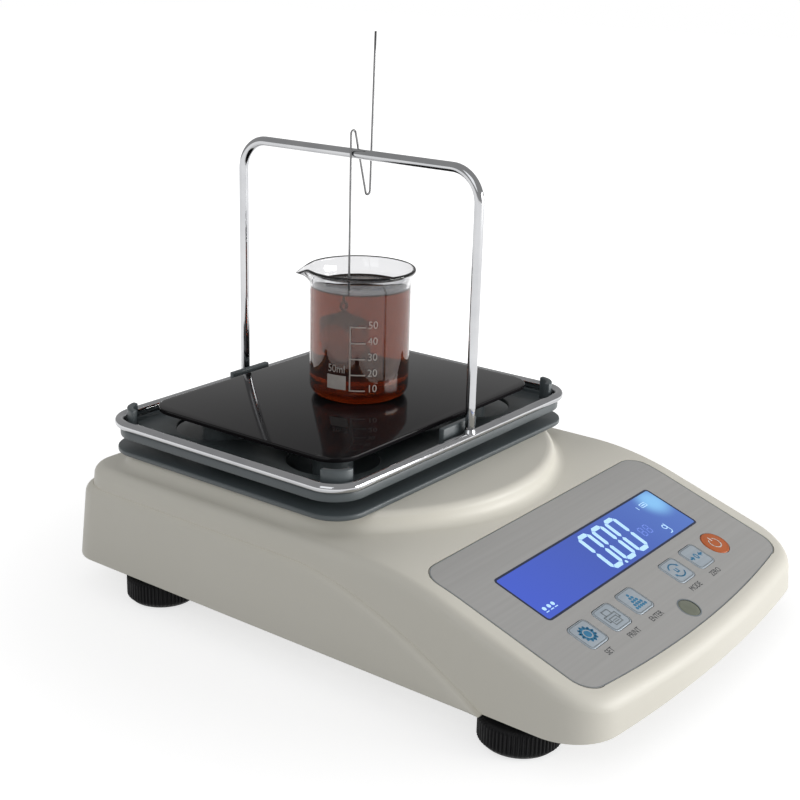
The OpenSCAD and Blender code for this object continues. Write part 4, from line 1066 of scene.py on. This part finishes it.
GRIP = 2.56             # from the arch wire's middle to the hook wire's
hx = ARCH_X - GRIP
low_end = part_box("hook_wire")[0][2] / MM
slant = math.radians(16)
lean = math.radians(1.5)
bend = 1.45
turn = 1.5
mid_z = ARCH_Z + (GRIP - bend) * (1 + math.cos(slant)) / math.sin(slant)
path = [(0, low_end + (mid_z - low_end) * k / 10) for k in range(11)]
path += arc(bend, mid_z, bend, 180, 16, 12)[1:]
leg_end = path[-1]
leg = mid_z - ARCH_Z + 18
heading = (math.sin(slant), -math.cos(slant))
path += [(leg_end[0] + heading[0] * leg * k / 4, leg_end[1] + heading[1] * leg * k / 4)
         for k in range(1, 5)]
turn_mid = (path[-1][0] + turn * math.cos(slant), path[-1][1] + turn * math.sin(slant))
path += arc(*turn_mid, turn, 180 + 16, 360 - 1.5, 12)[1:]
foot = path[-1]
handle = leg + 37.9
path += [(foot[0] + math.sin(lean) * handle * k / 6, foot[1] + math.cos(lean) * handle * k / 6)
         for k in range(1, 7)]
wire = mesh_object("hook_wire_skin", *sweep([(hx + x, PAN_Y, z) for x, z in path], 0.45, 16))
finish_piece(wire, "hanger", dark_steel, "steel", "hook_wire")
eye = [(hx + 1.6 * math.cos(a), PAN_Y, low_end - 1.55 + 1.6 * math.sin(a))
       for a in (2 * math.pi * k / 32 for k in range(32))]
eye_piece = mesh_object("sinker_eye_skin", *sweep(eye, 0.5, 12, closed=True))
finish_piece(eye_piece, "hanger", dark_steel, "steel", "sinker_eye")


# ---------------------------------------------------------------- feet
WHEEL = (   # radius, height and how deep the knurl is, from 0 to 1
    (0.0, 0.0, 0), (11.8, 0.0, 0), (13.1, 0.35, 0), (13.8, 1.1, 0), (14.1, 1.7, 0.5),
    (14.1, 2.1, 1), (14.1, 9.3, 1), (14.0, 9.8, 0.5), (13.5, 10.3, 0), (12.8, 10.6, 0),
    (3.4, 10.6, 0), (3.2, 10.0, 0), (3.2, 4.0, 0), (0.0, 4.0, 0))


def knurled_wheel(x, y):
    teeth = 60
    loops = []
    for r, z, knurl in WHEEL:
        loop = []
        for k, (px, py) in enumerate(circle(1, teeth * 4)):
            out = r + 0.75 * knurl * (k % 4 in (0, 1))
            loop.append((x + out * px, y + out * py, z))
        loops.append(loop)
    return loft(loops, caps=False)


for k, (x, y) in enumerate(FEET, 1):
    wheel = mesh_object("foot_wheel_%d_skin" % k, *knurled_wheel(x, y), sharp=35)
    finish_piece(wheel, "wheel_%d" % k, black_mat, "black_plastic", "foot_wheel_%d" % k)

# ---------------------------------------------------------------- finishes of the solids that stay
KEPT = {
    cream: ["housing_base"],
    steel: ["housing_screws", "board_screws", "main_board_screws", "cell_spacer", "cell_pad",
            "cell_screws", "overload_stop", "arm_screws", "cross_screw", "plate_screws", "jack_nut",
            "serial_port", "port_screws"] + ["foot_stud_%d" % k for k in range(1, 5)],
    aluminium: ["load_cell", "pan_arm", "pan_stem", "pan_cross"],
    board_mat: ["display_board", "main_board"],
    black_mat: ["key_switches", "power_jack"],
    window_rim: ["lcd_module"],
    brass: ["foot_inserts"],
    ribbon_mat: ["ribbon_cable"],
    vial_mat: ["level_vial"],
}
for mat, names in KEPT.items():
    for name in names:
        for slot in nodes[name].material_slots:
            slot.material = mat

# ---------------------------------------------------------------- floor, light and camera
def ray_is(tree, *kinds):
    """1 for the named kinds of ray, 0 for others."""
    rays = node(tree, "LightPath")
    total = rays.outputs[kinds[0]]
    for kind in kinds[1:]:
        total = node(tree, "Math", {0: total, 1: rays.outputs[kind]}, operation="ADD",
                     use_clamp=True).outputs[0]
    return total


floor_mat = bpy.data.materials.new("pale_floor")
floor_mat.use_nodes = True
tree = floor_mat.node_tree
tree.nodes.clear()
reach = node(tree, "VectorMath", {0: node(tree, "TexCoord").outputs["Object"]}, operation="LENGTH")
away = node(tree, "MapRange", {"Value": reach.outputs["Value"], "From Min": 0.12, "From Max": 0.36,
                               "To Min": 0.68, "To Max": 1.0}, interpolation_type="SMOOTHSTEP")
seen = ray_is(tree, "Is Camera Ray", "Is Glossy Ray", "Is Transmission Ray")
white = node(tree, "Math", {0: seen, 1: away.outputs["Result"]}, operation="MULTIPLY")
diffuse = node(tree, "BsdfDiffuse", {"Color": (0.55, 0.55, 0.55, 1)})
glow = node(tree, "Emission", {"Strength": white.outputs[0]})
both = node(tree, "AddShader", {0: diffuse.outputs[0], 1: glow.outputs[0]})
node(tree, "OutputMaterial", {"Surface": both.outputs[0]})
bpy.ops.mesh.primitive_plane_add(size=8, location=(0, 0, -0.0002))
floor = bpy.context.object
floor.name = "floor"
floor.data.materials.append(floor_mat)

world = bpy.data.worlds.new("studio")
bpy.context.scene.world = world
world.use_nodes = True
tree = world.node_tree
daylight = node(tree, "MapRange", {"Value": ray_is(tree, "Is Camera Ray", "Is Transmission Ray"),
                                   "To Min": 0.40, "To Max": 1.0})
background = tree.nodes["Background"]
background.inputs["Color"].default_value = (1, 1, 1, 1)
tree.links.new(daylight.outputs["Result"], background.inputs["Strength"])


def area_light(name, place, target, size, energy, color=(1, 1, 1)):
    data = bpy.data.lights.new(name, "AREA")
    data.shape = "RECTANGLE"
    data.size, data.size_y = size
    data.energy = energy
    data.color = color
    ob = bpy.data.objects.new(name, data)
    bpy.context.scene.collection.objects.link(ob)
    ob.location = place
    ob.rotation_euler = (Vector(target) - Vector(place)).to_track_quat("-Z", "Y").to_euler()


area_light("key", (0.75, -1.3, 0.3), (0, 0, 0.05), (1.0, 0.6), 17.0, (1.0, 0.995, 0.985))
area_light("fill", (-1.1, -0.2, 0.8), (0, 0, 0.08), (0.8, 0.8), 2.5, (0.96, 0.98, 1.0))

camera_data = bpy.data.cameras.new("camera")
camera_data.lens = 63.0
camera_data.sensor_width = 36.0
camera_data.clip_start = 0.01
camera = bpy.data.objects.new("camera", camera_data)
bpy.context.scene.collection.objects.link(camera)
azimuth, elevation, roll = (math.radians(v) for v in (-53.330, 18.069, 1.557))
ahead = Vector((-math.sin(azimuth) * math.cos(elevation), math.cos(azimuth) * math.cos(elevation),
                -math.sin(elevation)))
across = Vector((math.cos(azimuth), math.sin(azimuth), 0))
above = across.cross(ahead)
right_axis = math.cos(roll) * across + math.sin(roll) * above
up_axis = -math.sin(roll) * across + math.cos(roll) * above
turned = Matrix((right_axis, up_axis, -ahead)).transposed().to_4x4()
camera.matrix_world = Matrix.Translation((-0.44173, -0.30598, 0.26007)) @ turned
bpy.context.scene.camera = camera

bpy.context.scene.view_settings.view_transform = "Standard"
